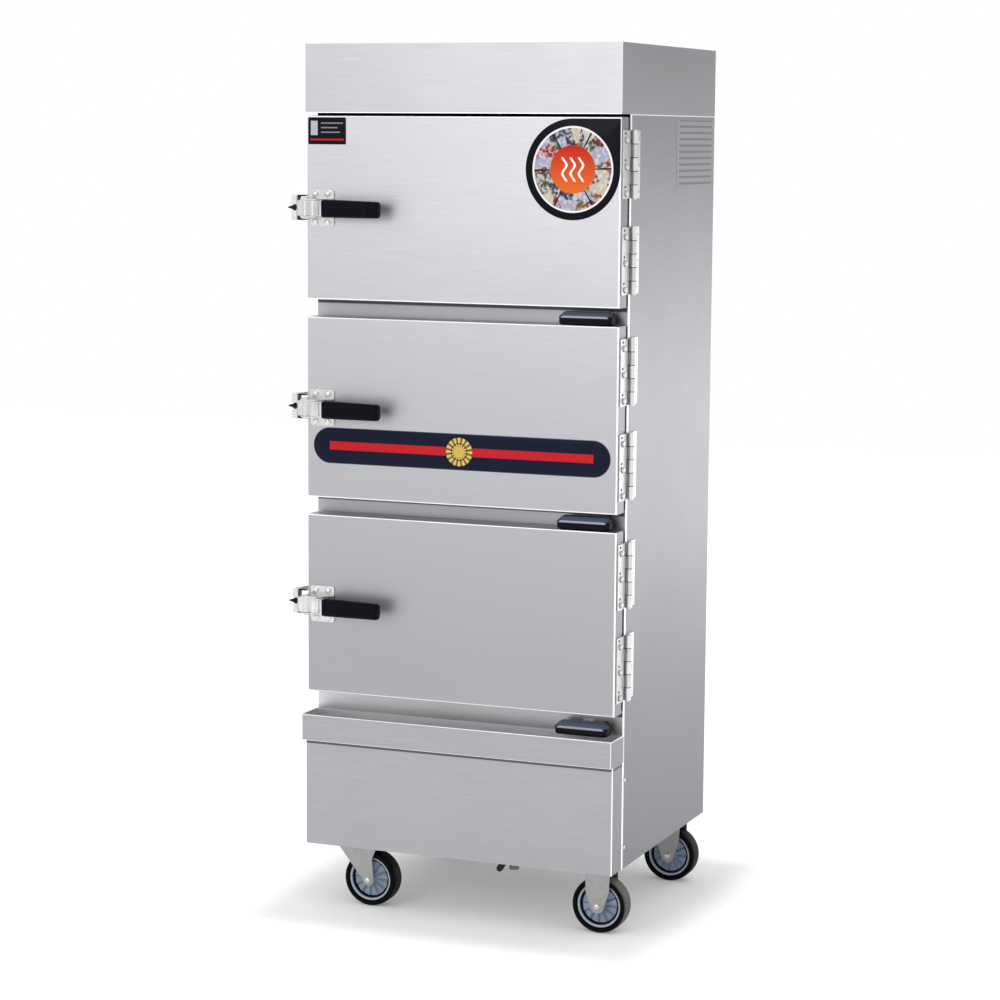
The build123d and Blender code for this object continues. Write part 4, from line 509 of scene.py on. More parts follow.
# The black oxide steel of the keeper bolts and damper eyes also serves as painted shade: the hinge
# slots, the knuckle joints and the shadows under the hinge screws.
black_oxide_and_shade_steel = small_metal("black_oxide_steel_and_painted_shade", "#2C2C2E", "#131315", 0.4, 5)
heater_tube = small_metal("heater_tube_heat_tinted_alloy", "#8A7F73", "#5A5248", 0.4, 14)
float_steel = small_metal("float_polished_stainless", "#DADBDC", "#C4C5C6", 0.16, 20)
fork_zinc = small_metal("fork_bright_zinc_plate", "#A5A5A4", "#969695", 0.42, 30)
brass = small_metal("float_valve_turned_brass", "#D6B268", "#B08A44", 0.3, 7)
for level in LEVELS:
    dress(leaf_steel, f"{level}_door_hinges")
    dress(latch_steel, f"{level}_latch_base", f"{level}_latch_lever")
dress(hinge_steel, "hinge_body_leaves")
dress(keeper_steel, "latch_keepers")
dress(screw_steel, "fasteners")
dress(heater_tube, "heating_elements")
dress(float_steel, "float_arm")
dress(brass, "float_valve")
dress(fork_zinc, "rigid_caster_forks", "swivel_caster_plates", "front_swivel_fork",
      "rear_swivel_fork")

# %% [markdown]
# ## Plastics, rubber and foam
# The grips are navy-black nylon with a fine spark-eroded texture, the damper pulls are glossy
# black phenolic, the drain tap is grey nylon with a dipped lever, and the seals are silicone. A
# moulded plastic is a dark or mid base with a coat-like sheen, and its texture is a fine bump
# whose grain is worked out from the size of the erosion pits.

# %% Moulded finishes
def moulded(name, colour, shade, roughness, pit_mm, depth_mm, **sockets):
    """A moulded plastic or rubber: two close tones and a pitted bump of a given grain."""
    material, tree, shader, coordinates = begin_finish(name, roughness, **sockets)
    pits = add(tree, "ShaderNodeTexNoise", {"Vector": coordinates, "Scale": 1000 / pit_mm,
                                            "Detail": 3.0, "Roughness": 0.6})
    haze = add(tree, "ShaderNodeTexNoise", {"Vector": coordinates, "Scale": 40.0, "Detail": 3.0})
    colour_out = layered(tree, shade, (colour, haze.outputs["Fac"]))
    end_finish(tree, shader, colour_out, haze.outputs["Fac"],
               (roughness - 0.04, roughness + 0.05), pits.outputs["Fac"], 0.5, depth_mm)
    return material


grip_nylon = moulded("grip_navy_black_nylon", "#060816", "#03040A", 0.4, 1.2, 0.06,
                     Specular_IOR_Level=0.07)
drain_nylon = moulded("drain_grey_nylon", "#83888B", "#6D7275", 0.42, 1.5, 0.05)
drain_dip = moulded("drain_lever_dipped_vinyl", "#101012", "#08080A", 0.34, 3.0, 0.05,
                    Specular_IOR_Level=0.3)
gland_nylon = moulded("gland_black_nylon", "#1A1A1C", "#101012", 0.45, 1.0, 0.05)
silicone = moulded("door_seal_grey_silicone", "#5B5C5E", "#4B4C4E", 0.55, 1.0, 0.04,
                   Specular_IOR_Level=0.35)
foam = moulded("polyurethane_foam", "#EDE0B8", "#D9C78F", 0.9, 3.0, 0.6)
dress(foam, "insulation", *(f"{level}_door_core" for level in LEVELS))
dress(drain_nylon, "drain_valve")
dress(drain_dip, "drain_lever")
dress(gland_nylon, "cable_gland")

# The pull's bevel is painted slate blue, a painted reflection of the room, and its front edge
# gets a painted highlight; both follow the bevel's place.
BEVEL_HEIGHT, PULL_BEHIND = 10.0, 42.0
for level in LEVELS:
    low, high = drawn_box(f"{level}_steam_damper")
    damper_finish, tree, shader, coordinates = begin_finish(
        f"{level}_damper_black_phenolic", 0.24, Specular_IOR_Level=0.1)
    parted = add(tree, "ShaderNodeSeparateXYZ", {"Vector": coordinates})
    ridge, pull_end = high[2] - BEVEL_HEIGHT, low[1] + PULL_BEHIND
    haze = add(tree, "ShaderNodeTexNoise", {"Vector": coordinates, "Scale": 60.0, "Detail": 3.0})
    bevel_reflection = step_between(tree, parted.outputs[Z], place_on(Z, ridge + 1.5),
                         place_on(Z, high[2] + 9.0), 0.0012)
    edge_highlight = fold_highlight_mask(tree, parted, (Y, low[1], Z, ridge, 2.8))
    behind = add(tree, "ShaderNodeMapRange",
                 {"Value": parted.outputs[Y], "From Min": place_on(Y, pull_end),
                  "From Max": place_on(Y, pull_end + 0.1)}).outputs[0]
    colour_out = layered(tree, "#030304", ("#08080B", haze.outputs["Fac"]), ("#535C6E", bevel_reflection),
                         ("#A9A9B2", edge_highlight), ("#B4B5B6", behind))
    tree.links.new(behind, shader.inputs["Metallic"])
    tree.links.new(colour_out, shader.inputs["Base Color"])
    dress(damper_finish, f"{level}_steam_damper")

# %% [markdown]
# ## Door seals
# Each door closes on a silicone bulb seal: a flat foot glued to the door's inner pan and a hollow
# bulb that the frame squeezes. A plain rectangular ring would look like a picture frame, so the
# real section is carried round a rectangle with rounded corners.

# %% Bulb seals
SEAL_CORNER = 20.0
bulb_angle = np.linspace(np.radians(-40), np.radians(220), 15)
bulb = np.stack([-7 + 4.3 * np.cos(bulb_angle), 7.4 + 4.3 * np.sin(bulb_angle)], axis=1)
seal_section = np.concatenate([[[-0.4, 0.1], [-0.2, 1.2], [-1.6, 2.9]], bulb,
                               [[-12.4, 2.9], [-13.8, 1.2], [-13.6, 0.1]]])
for level in LEVELS:
    low, high = drawn_box(f"{level}_door_gasket")
    x, z, depth = carried_round(high[0] - low[0], high[2] - low[2], SEAL_CORNER, seal_section)
    seal = np.stack([(low[0] + high[0]) / 2 + x, low[1] + depth, (low[2] + high[2]) / 2 + z],
                    axis=-1)
    make_piece(f"{level}_door_seal", [closed_shape(seal, ring=True)], f"{level}_door", silicone,
               [f"{level}_door_gasket"])

# %% [markdown]
# ## Latch grips
# The hand grip is a moulded sleeve pushed over the lever's tang. It is a rounded rectangle in
# section, its top edge falls toward the free end, and a separate end cap leaves a fine groove five
# sixths of the way along. So the section's size is a function of the distance along the grip.

# %% Moulded grips
for level in LEVELS:
    low, high = drawn_box(f"{level}_latch_grip")
    span = high[0] - low[0]
    groove = 0.84 * span
    along = np.array([0, 0.3, 1.0, 2.2, 8, 30, 60, 90, groove - 0.9, groove - 0.5, groove,
                      groove + 0.5, groove + 0.9, span - 5, span - 3, span - 1.4, span - 0.4, span])
    shave = np.interp(along, [0, 0.3, 1.0, 2.2, groove - 0.9, groove - 0.5, groove + 0.5,
                              groove + 0.9, span - 5, span - 3, span - 1.4, span - 0.4, span],
                      [1.6, 1.1, 0.5, 0.1, 0.1, 0.7, 0.7, 0.2, 0.2, 0.5, 1.3, 2.6, 4.2])
    top_fall = 3.2 * along / span
    depth = high[1] - low[1] - 2 * shave - 1.0 * along / span
    height = high[2] - low[2] - 2 * shave - top_fall
    directions = rounded_loop(2, 2, 1, 9)[1]
    corner = np.minimum(9.0, np.minimum(depth, height) / 2 - 0.5)
    signs = np.sign(directions)
    side_y = (signs[None, :, 0] * (depth / 2 - corner)[:, None]
              + corner[:, None] * directions[None, :, 0])
    side_z = (signs[None, :, 1] * (height / 2 - corner)[:, None]
              + corner[:, None] * directions[None, :, 1])
    grip = np.stack([low[0] + along[:, None] + np.zeros_like(side_y),
                     (low[1] + high[1]) / 2 + side_y,
                     (low[2] + high[2]) / 2 - top_fall[:, None] / 2 + side_z], axis=-1)
    make_piece(f"{level}_latch_handle", [closed_shape(grip)], f"{level}_latch", grip_nylon,
               [f"{level}_latch_grip"], sharp_angle=50)

# %% [markdown]
# ## Latch fittings
# Four bolts with domed hexagon heads and washers hold each latch, its pin has domed ends, and a
# ferrule joins the cast lever to the grip. Head shape matters here: the dome catches a small hard
# highlight. A hexagon is a circle whose radius grows from flat to corner, so the swell of the
# lathe piece turns it into one.


# %% Domed bolts and ferrules
def hexagon(t, radius):
    """Radius factor of a hexagon: 0.9 / cos of the angle from the nearest flat, at most 1.04."""
    from_flat = (t + np.pi / 6) % (np.pi / 3) - np.pi / 6
    return np.where(radius > 4.5, 0.9 / np.cos(from_flat), 1.0)


DOMED_HEXAGON = [(-0.9, 8.6), (-0.1, 8.6), (0.0, 8.2), (0.05, 7.5), (2.6, 7.5), (3.6, 6.7),
                 (4.4, 4.9), (4.9, 3.0), (5.1, 1.0)]
DOMED_END = [(-0.1, 6.8), (1.6, 6.8), (2.6, 6.0), (3.3, 4.4), (3.6, 2.0), (3.65, 0.6)]
# Places on a latch in mm: from the door's left edge, along Y, and up or down from its middle.
BOLTS_ACROSS, BASE_FACE, BOLT_RISE = (20.5, 49.5), -3.0, 30.0
PIN_ACROSS, PIN_Y, PIN_HALF, FERRULE_ACROSS = 9.0, -24.0, 19.5, 42.4
# The ferrule's stations along X, with half its height, half its depth and its middle along Y.
along = np.array([0.0, 1.0, 6.0, 9.0, 12.0, 15.2])
half_height = np.array([15.2, 16.0, 16.0, 17.2, 17.6, 17.2])
half_depth = np.array([6.0, 7.0, 8.4, 9.8, 10.6, 10.2])
centre_y = np.array([-32.0, -32.4, -35.4, -38.4, -41.0, -42.0])
FERRULE_CORNER = 4
directions = rounded_loop(2, 2, 1, 5)[1]
signs = np.where(directions > 0, 1.0, -1.0)
ferrule_y = (centre_y[:, None] + signs[:, 0] * (half_depth[:, None] - FERRULE_CORNER)
             + FERRULE_CORNER * directions[:, 0])
ferrule_rise = (signs[:, 1] * (half_height[:, None] - FERRULE_CORNER)
                + FERRULE_CORNER * directions[:, 1])
for level in LEVELS:
    middle_z = door_middles[level]
    door_left = door_boxes[level][0][0]
    heads = [turned(DOMED_HEXAGON, (door_left + across, BASE_FACE, middle_z + rise), (0, -1, 0),
                    36, hexagon)
             for across in BOLTS_ACROSS for rise in (-BOLT_RISE, BOLT_RISE)]
    heads += [turned(DOMED_END, (door_left + PIN_ACROSS, PIN_Y, middle_z + side * PIN_HALF),
                     (0, 0, side), 24) for side in (1, -1)]
    make_piece(f"{level}_latch_bolts", heads, f"{level}_door", screw_steel)
    ferrule = np.stack([door_left + FERRULE_ACROSS + along[:, None] + 0 * ferrule_y, ferrule_y,
                        middle_z + ferrule_rise], axis=-1)
    make_piece(f"{level}_grip_ferrule", [closed_shape(ferrule)], f"{level}_latch", latch_steel,
               sharp_angle=40)

# %% [markdown]
# ## Hinge screws and slots
# The hinge leaves are held by large dome-head screws, and each door leaf has an oval slot above
# every screw, through which the hinge was adjusted before it was fixed. A slot is drawn as a
# thin dark oval on the leaf, painted shade, because nothing behind it can be seen. The joints
# between the knuckles are drawn as dark rings 1.4 mm wide, coarser than the real 0.4 mm gap: the
# gap is real, and its darkness is painted shade. Each screw head also sits on a dark ring set
# 0.9 mm lower, a painted shadow under the head.

# %% Domed screws and slots
HINGE_RISE, SCREW_ROWS = 98.0, (-58.0, -4.0, 50.0)
DOMED_HEAD = [(-0.1, 6.0), (1.0, 6.0), (2.4, 5.5), (3.8, 4.3), (4.6, 2.6), (4.88, 0.8)]
KNUCKLE, HINGE_AXIS = 27.6, (body_right + 7.5, 62.0)
SLOT_RISE, SLOT_AHEAD, SLOT_HALF = 12.5, 5.0, (4.5, 2.8)
hinge_high = drawn_box("hinge_body_leaves")[1]
leaf_face, body_screw_y, door_screw_y = body_right + 2.5, hinge_high[1] - 19.25, 25.5
# Dark rings set 0.9 mm under the screw heads are painted shadows, and dark rings at the knuckle
# joints are painted shade in the gaps.
SCREW_SHADOW_RING = [(-0.1, 6.7), (0.5, 6.7), (0.6, 6.2)]
KNUCKLE_JOINT = [(-0.8, 6.9), (-0.7, 7.16), (0.7, 7.16), (0.8, 6.9)]
body_domes, screw_shadows, gaps = [], [], []
t = once_round(20)[None, :]
slot_out, slot_size = np.array([[-0.05], [0.12], [0.15]]), np.array([[1.0], [1.0], [0.9]])
for level in LEVELS:
    heights = [door_middles[level] + side * HINGE_RISE + row
               for side in (-1, 1) for row in SCREW_ROWS]
    body_domes += [turned(DOMED_HEAD, (leaf_face, body_screw_y, z), (1, 0, 0), 20)
                   for z in heights]
    make_piece(f"{level}_hinge_screws",
               [turned(DOMED_HEAD, (leaf_face, door_screw_y, z), (1, 0, 0), 20)
                for z in heights], f"{level}_door", screw_steel)
    screw_shadows += [(leaf_face, body_screw_y, z - 0.9) for z in heights]
    gaps += [(*HINGE_AXIS, door_middles[level] + side * HINGE_RISE + step * KNUCKLE)
             for side in (-1, 1) for step in (-1.5, -0.5, 0.5, 1.5)]
    make_piece(f"{level}_hinge_slots_and_screw_shadows",
               [turned(SCREW_SHADOW_RING, (leaf_face, door_screw_y, z - 0.9), (1, 0, 0), 20)
                for z in heights] +
               [closed_shape(np.stack([leaf_face + slot_out + 0 * t,
                                       door_screw_y - SLOT_AHEAD
                                       + SLOT_HALF[0] * slot_size * np.cos(t),
                                       z + SLOT_RISE + SLOT_HALF[1] * slot_size * np.sin(t)],
                                      axis=-1))
                for z in heights], f"{level}_door", black_oxide_and_shade_steel)
make_piece("body_hinge_screws", body_domes, "root", screw_steel)
make_piece("hinge_joint_and_screw_shadows",
           [turned(SCREW_SHADOW_RING, place_mm, (1, 0, 0), 20) for place_mm in screw_shadows] +
           [turned(KNUCKLE_JOINT, place_mm, (0, 0, 1), 24) for place_mm in gaps],
           "root", black_oxide_and_shade_steel)

# %% [markdown]
# ## Keeper bolts
# The adjusting bolt in each keeper is black oxide steel with a nut and a long cone for a point.
# A thread reads as fine rings at this size, so the radius follows a wave along the bolt.

# %% Threaded bolts
THREAD_PITCH = 1.25
thread = np.arange(-3.0, 3.01, THREAD_PITCH / 4)
thread_radius = 3.05 + 0.14 * np.cos(2 * np.pi * thread / THREAD_PITCH)
bolt_profile = np.concatenate([[[-3.4, 1.0], [-3.3, 2.9]],
                               np.stack([thread, thread_radius], axis=1),
                               [[9.8, 4.6], [10.6, 4.7], [14.5, 3.5], [18.5, 2.3], [22.4, 1.2],
                                [22.9, 0.4]]])
nut_profile = [(2.95, 5.6), (3.3, 6.6), (9.4, 6.6), (10.2, 5.6)]
keeper_right = body_left - 25.0
bolts = []
for level in LEVELS:
    seat = (keeper_right, 11.5, door_middles[level])
    bolts.append(turned(bolt_profile, seat, (-1, 0, 0), 20))
    bolts.append(turned(nut_profile, seat, (-1, 0, 0), 36, hexagon))
make_piece("keeper_bolts", bolts, "root", black_oxide_and_shade_steel)

# %% [markdown]
# ## Damper pulls
# Each damper pull is one phenolic moulding with a small wire eye behind its right end, where a
# chain can hold it open. The eye is a round section carried round a small circle.

# %% Wire eyes
WIRE_RADIUS, RING_RADIUS = 1.1, 4.2
turn, tube = once_round(24)[:, None], once_round(10)[None, :]
eye_radius = RING_RADIUS + WIRE_RADIUS * np.cos(tube)
for level in LEVELS:
    low, high = drawn_box(f"{level}_steam_damper")
    front, pull_right, centre_z = low[1], body_right - 18.0, (low[2] + high[2]) / 2
    eye = np.stack([pull_right - 11 + eye_radius * np.cos(turn),
                    front + 33 + WIRE_RADIUS * np.sin(tube) + 0 * turn,
                    centre_z + 11.0 + eye_radius * np.sin(turn)], axis=-1)
    make_piece(f"{level}_damper_eye", [closed_shape(eye, ring=True)], f"{level}_damper",
               black_oxide_and_shade_steel)

# %% [markdown]
# ## Wheels
# Each caster wheel is a blue-grey nylon centre with twelve fan-like blades inside a raised rim,
# and a black rubber tyre whose tread has scuffed to grey. Both are turned shapes, so a section is
# carried round the axle. On the centre, the blades add a sawtooth of the angle, which is
# strongest half way out and dies away at the hub and at the rim.

# %% Wheel materials
BLADES = 12
WORN_TREADS = {"front_right": "#85857F"}
axles = {f"{end}_{side}": tuple(sum(drawn_box(f"{end}_{side}_wheel")) / 2)
         for end in ("front", "rear") for side in ("left", "right")}


def wheel_polar(tree, coordinates, axle):
    """Distance from an axle in metres and angle round it in radians, seen along Y."""
    centred = add(tree, "ShaderNodeVectorMath",
                  {0: coordinates, 1: tuple(place(axle))}, operation="SUBTRACT")
    flat = add(tree, "ShaderNodeVectorMath", {0: centred.outputs[0], 1: (1.0, 0.0, 1.0)},
               operation="MULTIPLY")
    radius = add(tree, "ShaderNodeVectorMath", {0: flat.outputs[0]}, operation="LENGTH")
    parts = add(tree, "ShaderNodeSeparateXYZ", {"Vector": centred.outputs[0]})
    angle = add(tree, "ShaderNodeMath", {0: parts.outputs[2], 1: parts.outputs[0]},
                operation="ARCTAN2")
    return radius.outputs["Value"], angle.outputs[0]


def repeating(tree, value, factor, wave):
    """A value times a factor, then its SINE, its COSINE or, for a sawtooth, its FRACT."""
    scaled = add(tree, "ShaderNodeMath", {0: value, 1: factor}, operation="MULTIPLY")
    return add(tree, "ShaderNodeMath", {0: scaled.outputs[0]}, operation=wave).outputs[0]


def tyre_rubber(name, axle, worn_colour):
    """Black rubber, worn where the tread touches the floor: the mix follows the radius."""
    material, tree, shader, coordinates = begin_finish(name, 0.5, Specular_IOR_Level=0.07)
    radius = wheel_polar(tree, coordinates, axle)[0]
    tread = add(tree, "ShaderNodeMapRange", {"Value": radius, "From Min": 0.0575,
                                             "From Max": 0.0597})
    scuffs = add(tree, "ShaderNodeTexNoise", {"Vector": coordinates, "Scale": 180.0,
                                              "Detail": 5.0, "Roughness": 0.65})
    worn = add(tree, "ShaderNodeMath", {0: tread.outputs[0], 1: scuffs.outputs["Fac"]},
               operation="MULTIPLY")
    colour_out = layered(tree, "#04050A", (worn_colour, worn.outputs[0]))
    tree.links.new(colour_out, shader.inputs["Base Color"])
    bump = add(tree, "ShaderNodeBump", {"Height": scuffs.outputs["Fac"], "Strength": 0.4,
                                        "Distance": 0.0002})
    tree.links.new(bump.outputs[0], shader.inputs["Normal"])
    return material


def centre_nylon(name, axle):
    """Blue-grey nylon: pale raised rim, a groove inside it painted near black and blades painted
    darker toward each step, both as painted shade.
    """
    material, tree, shader, coordinates = begin_finish(name, 0.36, Specular_IOR_Level=0.3)
    radius, angle = wheel_polar(tree, coordinates, axle)
    tooth = repeating(tree, angle, BLADES / (2 * np.pi), "FRACT")
    # Painted shade: the blades darken toward each step, and the innermost ring, the groove inside
    # the rim, is painted near black.
    shaded = add(tree, "ShaderNodeMapRange", {"Value": tooth, "From Min": 0.55,
                                              "From Max": 0.95, "To Max": 0.5})
    haze = add(tree, "ShaderNodeTexNoise", {"Vector": coordinates, "Scale": 70.0, "Detail": 2.0})
    rings = [(colour, step_between(tree, radius, inner, outer, 0.0003))
             for inner, outer, colour in ((0.0384, 0.0434, "#06080E"),
                                          (0.0434, 0.0474, "#AEB3C2"),
                                          (0.0474, 0.0600, "#05060A"))]
    colour_out = layered(tree, "#76899C", ("#9AA6BE", haze.outputs["Fac"]),
                         ("#4C5B6C", shaded.outputs[0]), *rings)
    tree.links.new(colour_out, shader.inputs["Base Color"])
    return material


# %% Wheel shapes
TYRE_SECTION = [(-17.6, 50.3), (-19.6, 52.0), (-20.8, 54.6), (-20.6, 57.0), (-18.6, 58.9),
                (-14.0, 59.7), (-6.0, 59.95), (6.0, 59.95), (14.0, 59.7), (18.6, 58.9),
                (20.6, 57.0), (20.8, 54.6), (19.6, 52.0), (17.6, 50.3)]
DISC_SECTION = [(25.5, 5.2), (25.5, 12.0), (24.6, 13.6), (14.0, 14.2), (10.5, 16.0),
                (9.6, 20.0), (9.4, 24.0), (9.2, 28.0), (9.0, 32.0), (8.8, 36.0), (8.6, 39.0),
                (5.0, 40.4), (5.0, 42.6), (15.6, 43.4), (17.4, 44.6), (17.9, 47.0), (17.0, 49.4),
                (15.6, 50.2)]
BLADE_LIFT = 4.6


def revolved(section, axle, steps, lift=None, swell=None):
    """A closed section carried round an axle along Y: x = r cos t, z = r sin t, y = across.

    lift(t, r) is added across, away from the middle, and swell(t, r) is a factor of r.
    """
    across, radius = np.asarray(section, float).T[:, None, :]
    t = once_round(steps)[:, None]
    if lift is not None:
        across = across + lift(t, radius) * np.sign(across)
    if swell is not None:
        radius = radius * swell(t, radius)
    grid = np.stack([axle[0] + radius * np.cos(t), axle[1] + across + 0 * t,
                     axle[2] + radius * np.sin(t)], axis=-1)
    return closed_shape(grid, ring=True)


def blade_lift(t, radius):
    """Sawtooth of the angle times a bump that is 1 at 29 mm from the axle and 0 at 15 and 40."""
    saw = (t * BLADES / (2 * np.pi)) % 1
    tooth = np.where(saw < 0.8, saw / 0.8, (1 - saw) / 0.2)
    bump = np.clip(1 - ((radius - 29) / 13) ** 4, 0, 1)
    return BLADE_LIFT * tooth * bump * (radius > 15) * (radius < 40)


disc_section = np.array(DISC_SECTION)
disc_section = np.concatenate([disc_section, disc_section[::-1] * [-1, 1]])
for place_name, axle in axles.items():
    make_piece(f"{place_name}_tyre", [revolved(TYRE_SECTION, axle, 96)],
               f"{place_name}_roller",
               tyre_rubber(f"{place_name}_tyre_black_rubber", axle,
                           WORN_TREADS.get(place_name, "#121319")),
               [f"{place_name}_wheel"], sharp_angle=50)
    make_piece(f"{place_name}_wheel_centre", [revolved(disc_section, axle, 120, blade_lift)],
               f"{place_name}_roller",
               centre_nylon(f"{place_name}_centre_blue_grey_nylon", axle),
               [f"{place_name}_wheel"])

# %% [markdown]
# ## Axle domes
# The axle bolts end in domed heads on both sides of each fork. They are small, but they are the
# brightest spots low on the cabinet, so they get their own turned shape.

# %% Domed axle heads
AXLE_DOME = [(-0.1, 7.6), (0.8, 7.6), (1.2, 7.1), (3.4, 7.1), (4.8, 6.0), (5.6, 4.2), (6.0, 2.0),
             (6.1, 0.5)]
FORK_HALF = 51.8 / 2 + 3
for body, names in (("front_swivel", ["front_left"]), ("rear_swivel", ["rear_left"]),
                    ("root", ["front_right", "rear_right"])):
    domes = []
    for name in names:
        x, y, z = axles[name]
        domes += [turned(AXLE_DOME, (x, y + side * FORK_HALF, z), (0, side, 0), 24)
                  for side in (-1, 1)]
    make_piece(f"{body}_axle_domes", domes, body, screw_steel)

# %% [markdown]
# ## Rolled edges
# Raw sheet cuts hands, so the trough's rim and the trays' rims are rolled over a wire. A small
# round section carried round the rim gives that bead. The trough's bead is coloured much lighter
# than the trough, a painted highlight that draws the bright line along it.

# %% Beads on the trough and trays
BEAD_RADIUS = 1.3
bead_section = BEAD_RADIUS * np.stack([np.cos(once_round(10)), np.sin(once_round(10))], axis=1)


def bead(width, length, corner, centre, steps, open_back=False):
    """A round bead along a rounded rectangle that lies flat at the centre's height.

    An open bead leaves out the back edge: it runs from the left end round the front.
    """
    grid = np.stack(carried_round(width, length, corner, bead_section, steps), axis=-1) + centre
    if open_back:
        return closed_shape(np.concatenate([grid[2 * steps - 1:], grid[:1]]))
    return closed_shape(grid, ring=True)


# The trough's bead is painted lighter than the trough: a painted highlight.
bead_highlight_steel = brushed_sheet("rolled_edge_stainless_painted_highlight", "#E4E4E6", 0.3, grain_mm=4.0)
trough_middle = (trough_low + trough_high) / 2
trough_width, trough_length = (trough_high - trough_low)[:2] - 1.2
trough_bead = bead(trough_width, trough_length, 3.0, (*trough_middle[:2], trough_high[2]), 4, True)
make_piece("trough_rolled_edge", [trough_bead], "root", bead_highlight_steel)
tray_low, tray_high = drawn_box("steam_trays")
tray_middle = (tray_low + tray_high) / 2
tray_width, tray_length = (tray_high - tray_low)[:2] - 2.6
FOOT_TO_TRAY, TRAY_PITCH, TRAY_DEPTH, TRAYS = 12.0, 82.0, 48.0, 4
chamber_feet = [drawn_box(f"{level}_liner")[0][2] + 1.0 for level in LEVELS]
tray_beads = [
    bead(tray_width, tray_length, 20.7,
         (*tray_middle[:2], foot + FOOT_TO_TRAY + TRAY_DEPTH + step * TRAY_PITCH + 1.45), 6)
    for foot in chamber_feet for step in range(TRAYS)
]
make_piece("tray_rolled_edges", tray_beads, "root", tray_steel)

# %% [markdown]
# ## Louvres on the back
# The machine compartment breathes through slots low in the back. A press cuts each slot and
# pushes the sheet out above it into a hood. The hood is a height over the panel that rises from
# the top edge to the slot and dies away toward its ends, thickened to a sheet by Solidify.

# %% Pressed hoods
back_low, back_high = drawn_box("back_panel")
HOOD_WIDTH, HOOD_HEIGHT, HOOD_REACH = 128.0, 13.0, 6.0
LOUVRE_CENTRE_Z = back_low[2] + 130.0
LOUVRE_COLUMNS, LOUVRE_ROWS, LOUVRE_PITCH = (-110.0, 110.0), 6, 20.0
u = np.linspace(-1, 1, 25)[:, None]
v = np.linspace(0, 1, 7)[None, :]
height_out = HOOD_REACH * np.sin(v * np.pi / 2) * (1 - np.abs(u) ** 6)
hood_points, hood_quads = [], []
for column in LOUVRE_COLUMNS:
    for row in range(LOUVRE_ROWS):
        centre_z = LOUVRE_CENTRE_Z + (row - (LOUVRE_ROWS - 1) / 2) * LOUVRE_PITCH
        grid = np.stack([column + u * HOOD_WIDTH / 2 + 0 * v, back_high[1] + 0.2 + height_out,
                         centre_z - 1 + HOOD_HEIGHT * (1 - v) + 0 * u], axis=-1)
        start = sum(len(p) for p in hood_points)
        i, j = np.meshgrid(np.arange(24), np.arange(6), indexing="ij")
        first = (start + i * 7 + j).ravel()
        hood_points.append(grid.reshape(-1, 3))
        hood_quads.append(np.stack([first, first + 1, first + 8, first + 7], axis=1))
hoods = mesh_object("louvre_hoods", place(np.concatenate(hood_points)),
                    np.concatenate(hood_quads).tolist(), back_steel)
hood_faces = hoods.data.polygons
hood_faces.foreach_set("use_smooth", np.ones(len(hood_faces), bool))
wall = hoods.modifiers.new("sheet", "SOLIDIFY")
wall.thickness, wall.offset = 0.0008, 0.0
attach(hoods, "root")
print(len(hood_points), "hoods, mean face normal along the back:",
      round(float(np.mean([face.normal.y for face in hood_faces])), 2))

# %% [markdown]
# ## Cable gland
# The gland's dome nut has fine ribs for fingers. Ribs round a turned piece are a cosine of the
# angle added to the radius, only on the nut.

# %% Ribbed nut
def nut_ribs(t, radius):
    """Radius factor 1 + 0.035 cos(18 t) where the nut is widest, and 1 elsewhere."""
    return np.where(radius > 13, 1 + 0.035 * np.cos(18 * t), 1.0)


gland_low, gland_high = drawn_box("cable_gland")
gland_x, gland_z = (gland_low[0] + gland_high[0]) / 2, (gland_low[2] + gland_high[2]) / 2
NUT_SECTION = [(0.0, 12.2), (0.2, 13.8), (12.0, 13.8), (14.5, 12.6), (17.2, 9.6), (17.6, 8.0),
               (17.4, 5.7), (4.0, 5.7), (0.1, 5.8)]
nut = revolved(NUT_SECTION, (gland_x, back_high[1] + 4.2, gland_z), 72, swell=nut_ribs)
make_piece("gland_dome_nut", [nut], "root", gland_nylon)

# %% [markdown]
# ## Printed films
# Three printed films sit on the doors, and a ruled plate without writing on the right side. The
# prints are this lesson's own plain designs: a round film with a dark border, mottled warm and
# green fields and three rising waves of steam on a red disc, a long navy film with a woven ground,
# two red bands and a fluted gold rosette, and a small dark label with bars and no words. Films
# are thin closed sheets with a low gloss.


# %% Film shapes
def film_disc(centre, radius, thickness):
    """A round film on a door, whose top right quarter is square: the radius grows to the corner.

    In that quarter the outline is radius / max(cos t, sin t), which is a square's edge.
    """
    t = once_round(128)
    square = np.where(t <= np.pi / 2, 1 / np.maximum(np.abs(np.cos(t)), np.abs(np.sin(t))), 1.0)
    rows = [(0.0, 1.0), (thickness * 0.7, 1.0), (thickness, 0.997), (thickness, 0.6),
            (thickness, 0.3), (thickness, 0.01)]
    return closed_shape(np.stack([np.stack(
        [centre[0] + share * radius * square * np.cos(t), centre[1] - out + 0 * t,
         centre[2] + share * radius * square * np.sin(t)], axis=-1) for out, share in rows]))


def shrinking_rows(x_ends, z_ends, corner, steps, shrink):
    """Places across and up of a rounded outline, with a row for each amount it has shrunk by."""
    corners, directions = rounded_loop(x_ends[1] - x_ends[0], z_ends[1] - z_ends[0], corner, steps)
    flat = corners[None] + (corner - np.array(shrink))[:, None, None] * directions[None]
    return sum(x_ends) / 2 + flat[..., 0], sum(z_ends) / 2 + flat[..., 1]


def film_bar(x_ends, z_ends, front, thickness, corner):
    """A bar film: rows shrink a rounded outline from its edge to its middle line."""
    x, z = shrinking_rows(x_ends, z_ends, corner, 16, [0.0, 0.0, 0.3, corner * 0.5, corner - 0.4])
    out = np.array([0.0, 0.7, 1.0, 1.0, 1.0]) * thickness
    return closed_shape(np.stack([x, front - out[:, None] + 0 * x, z], axis=-1))


FILM_FRONT, FILM_THICK = 0.02, 0.3


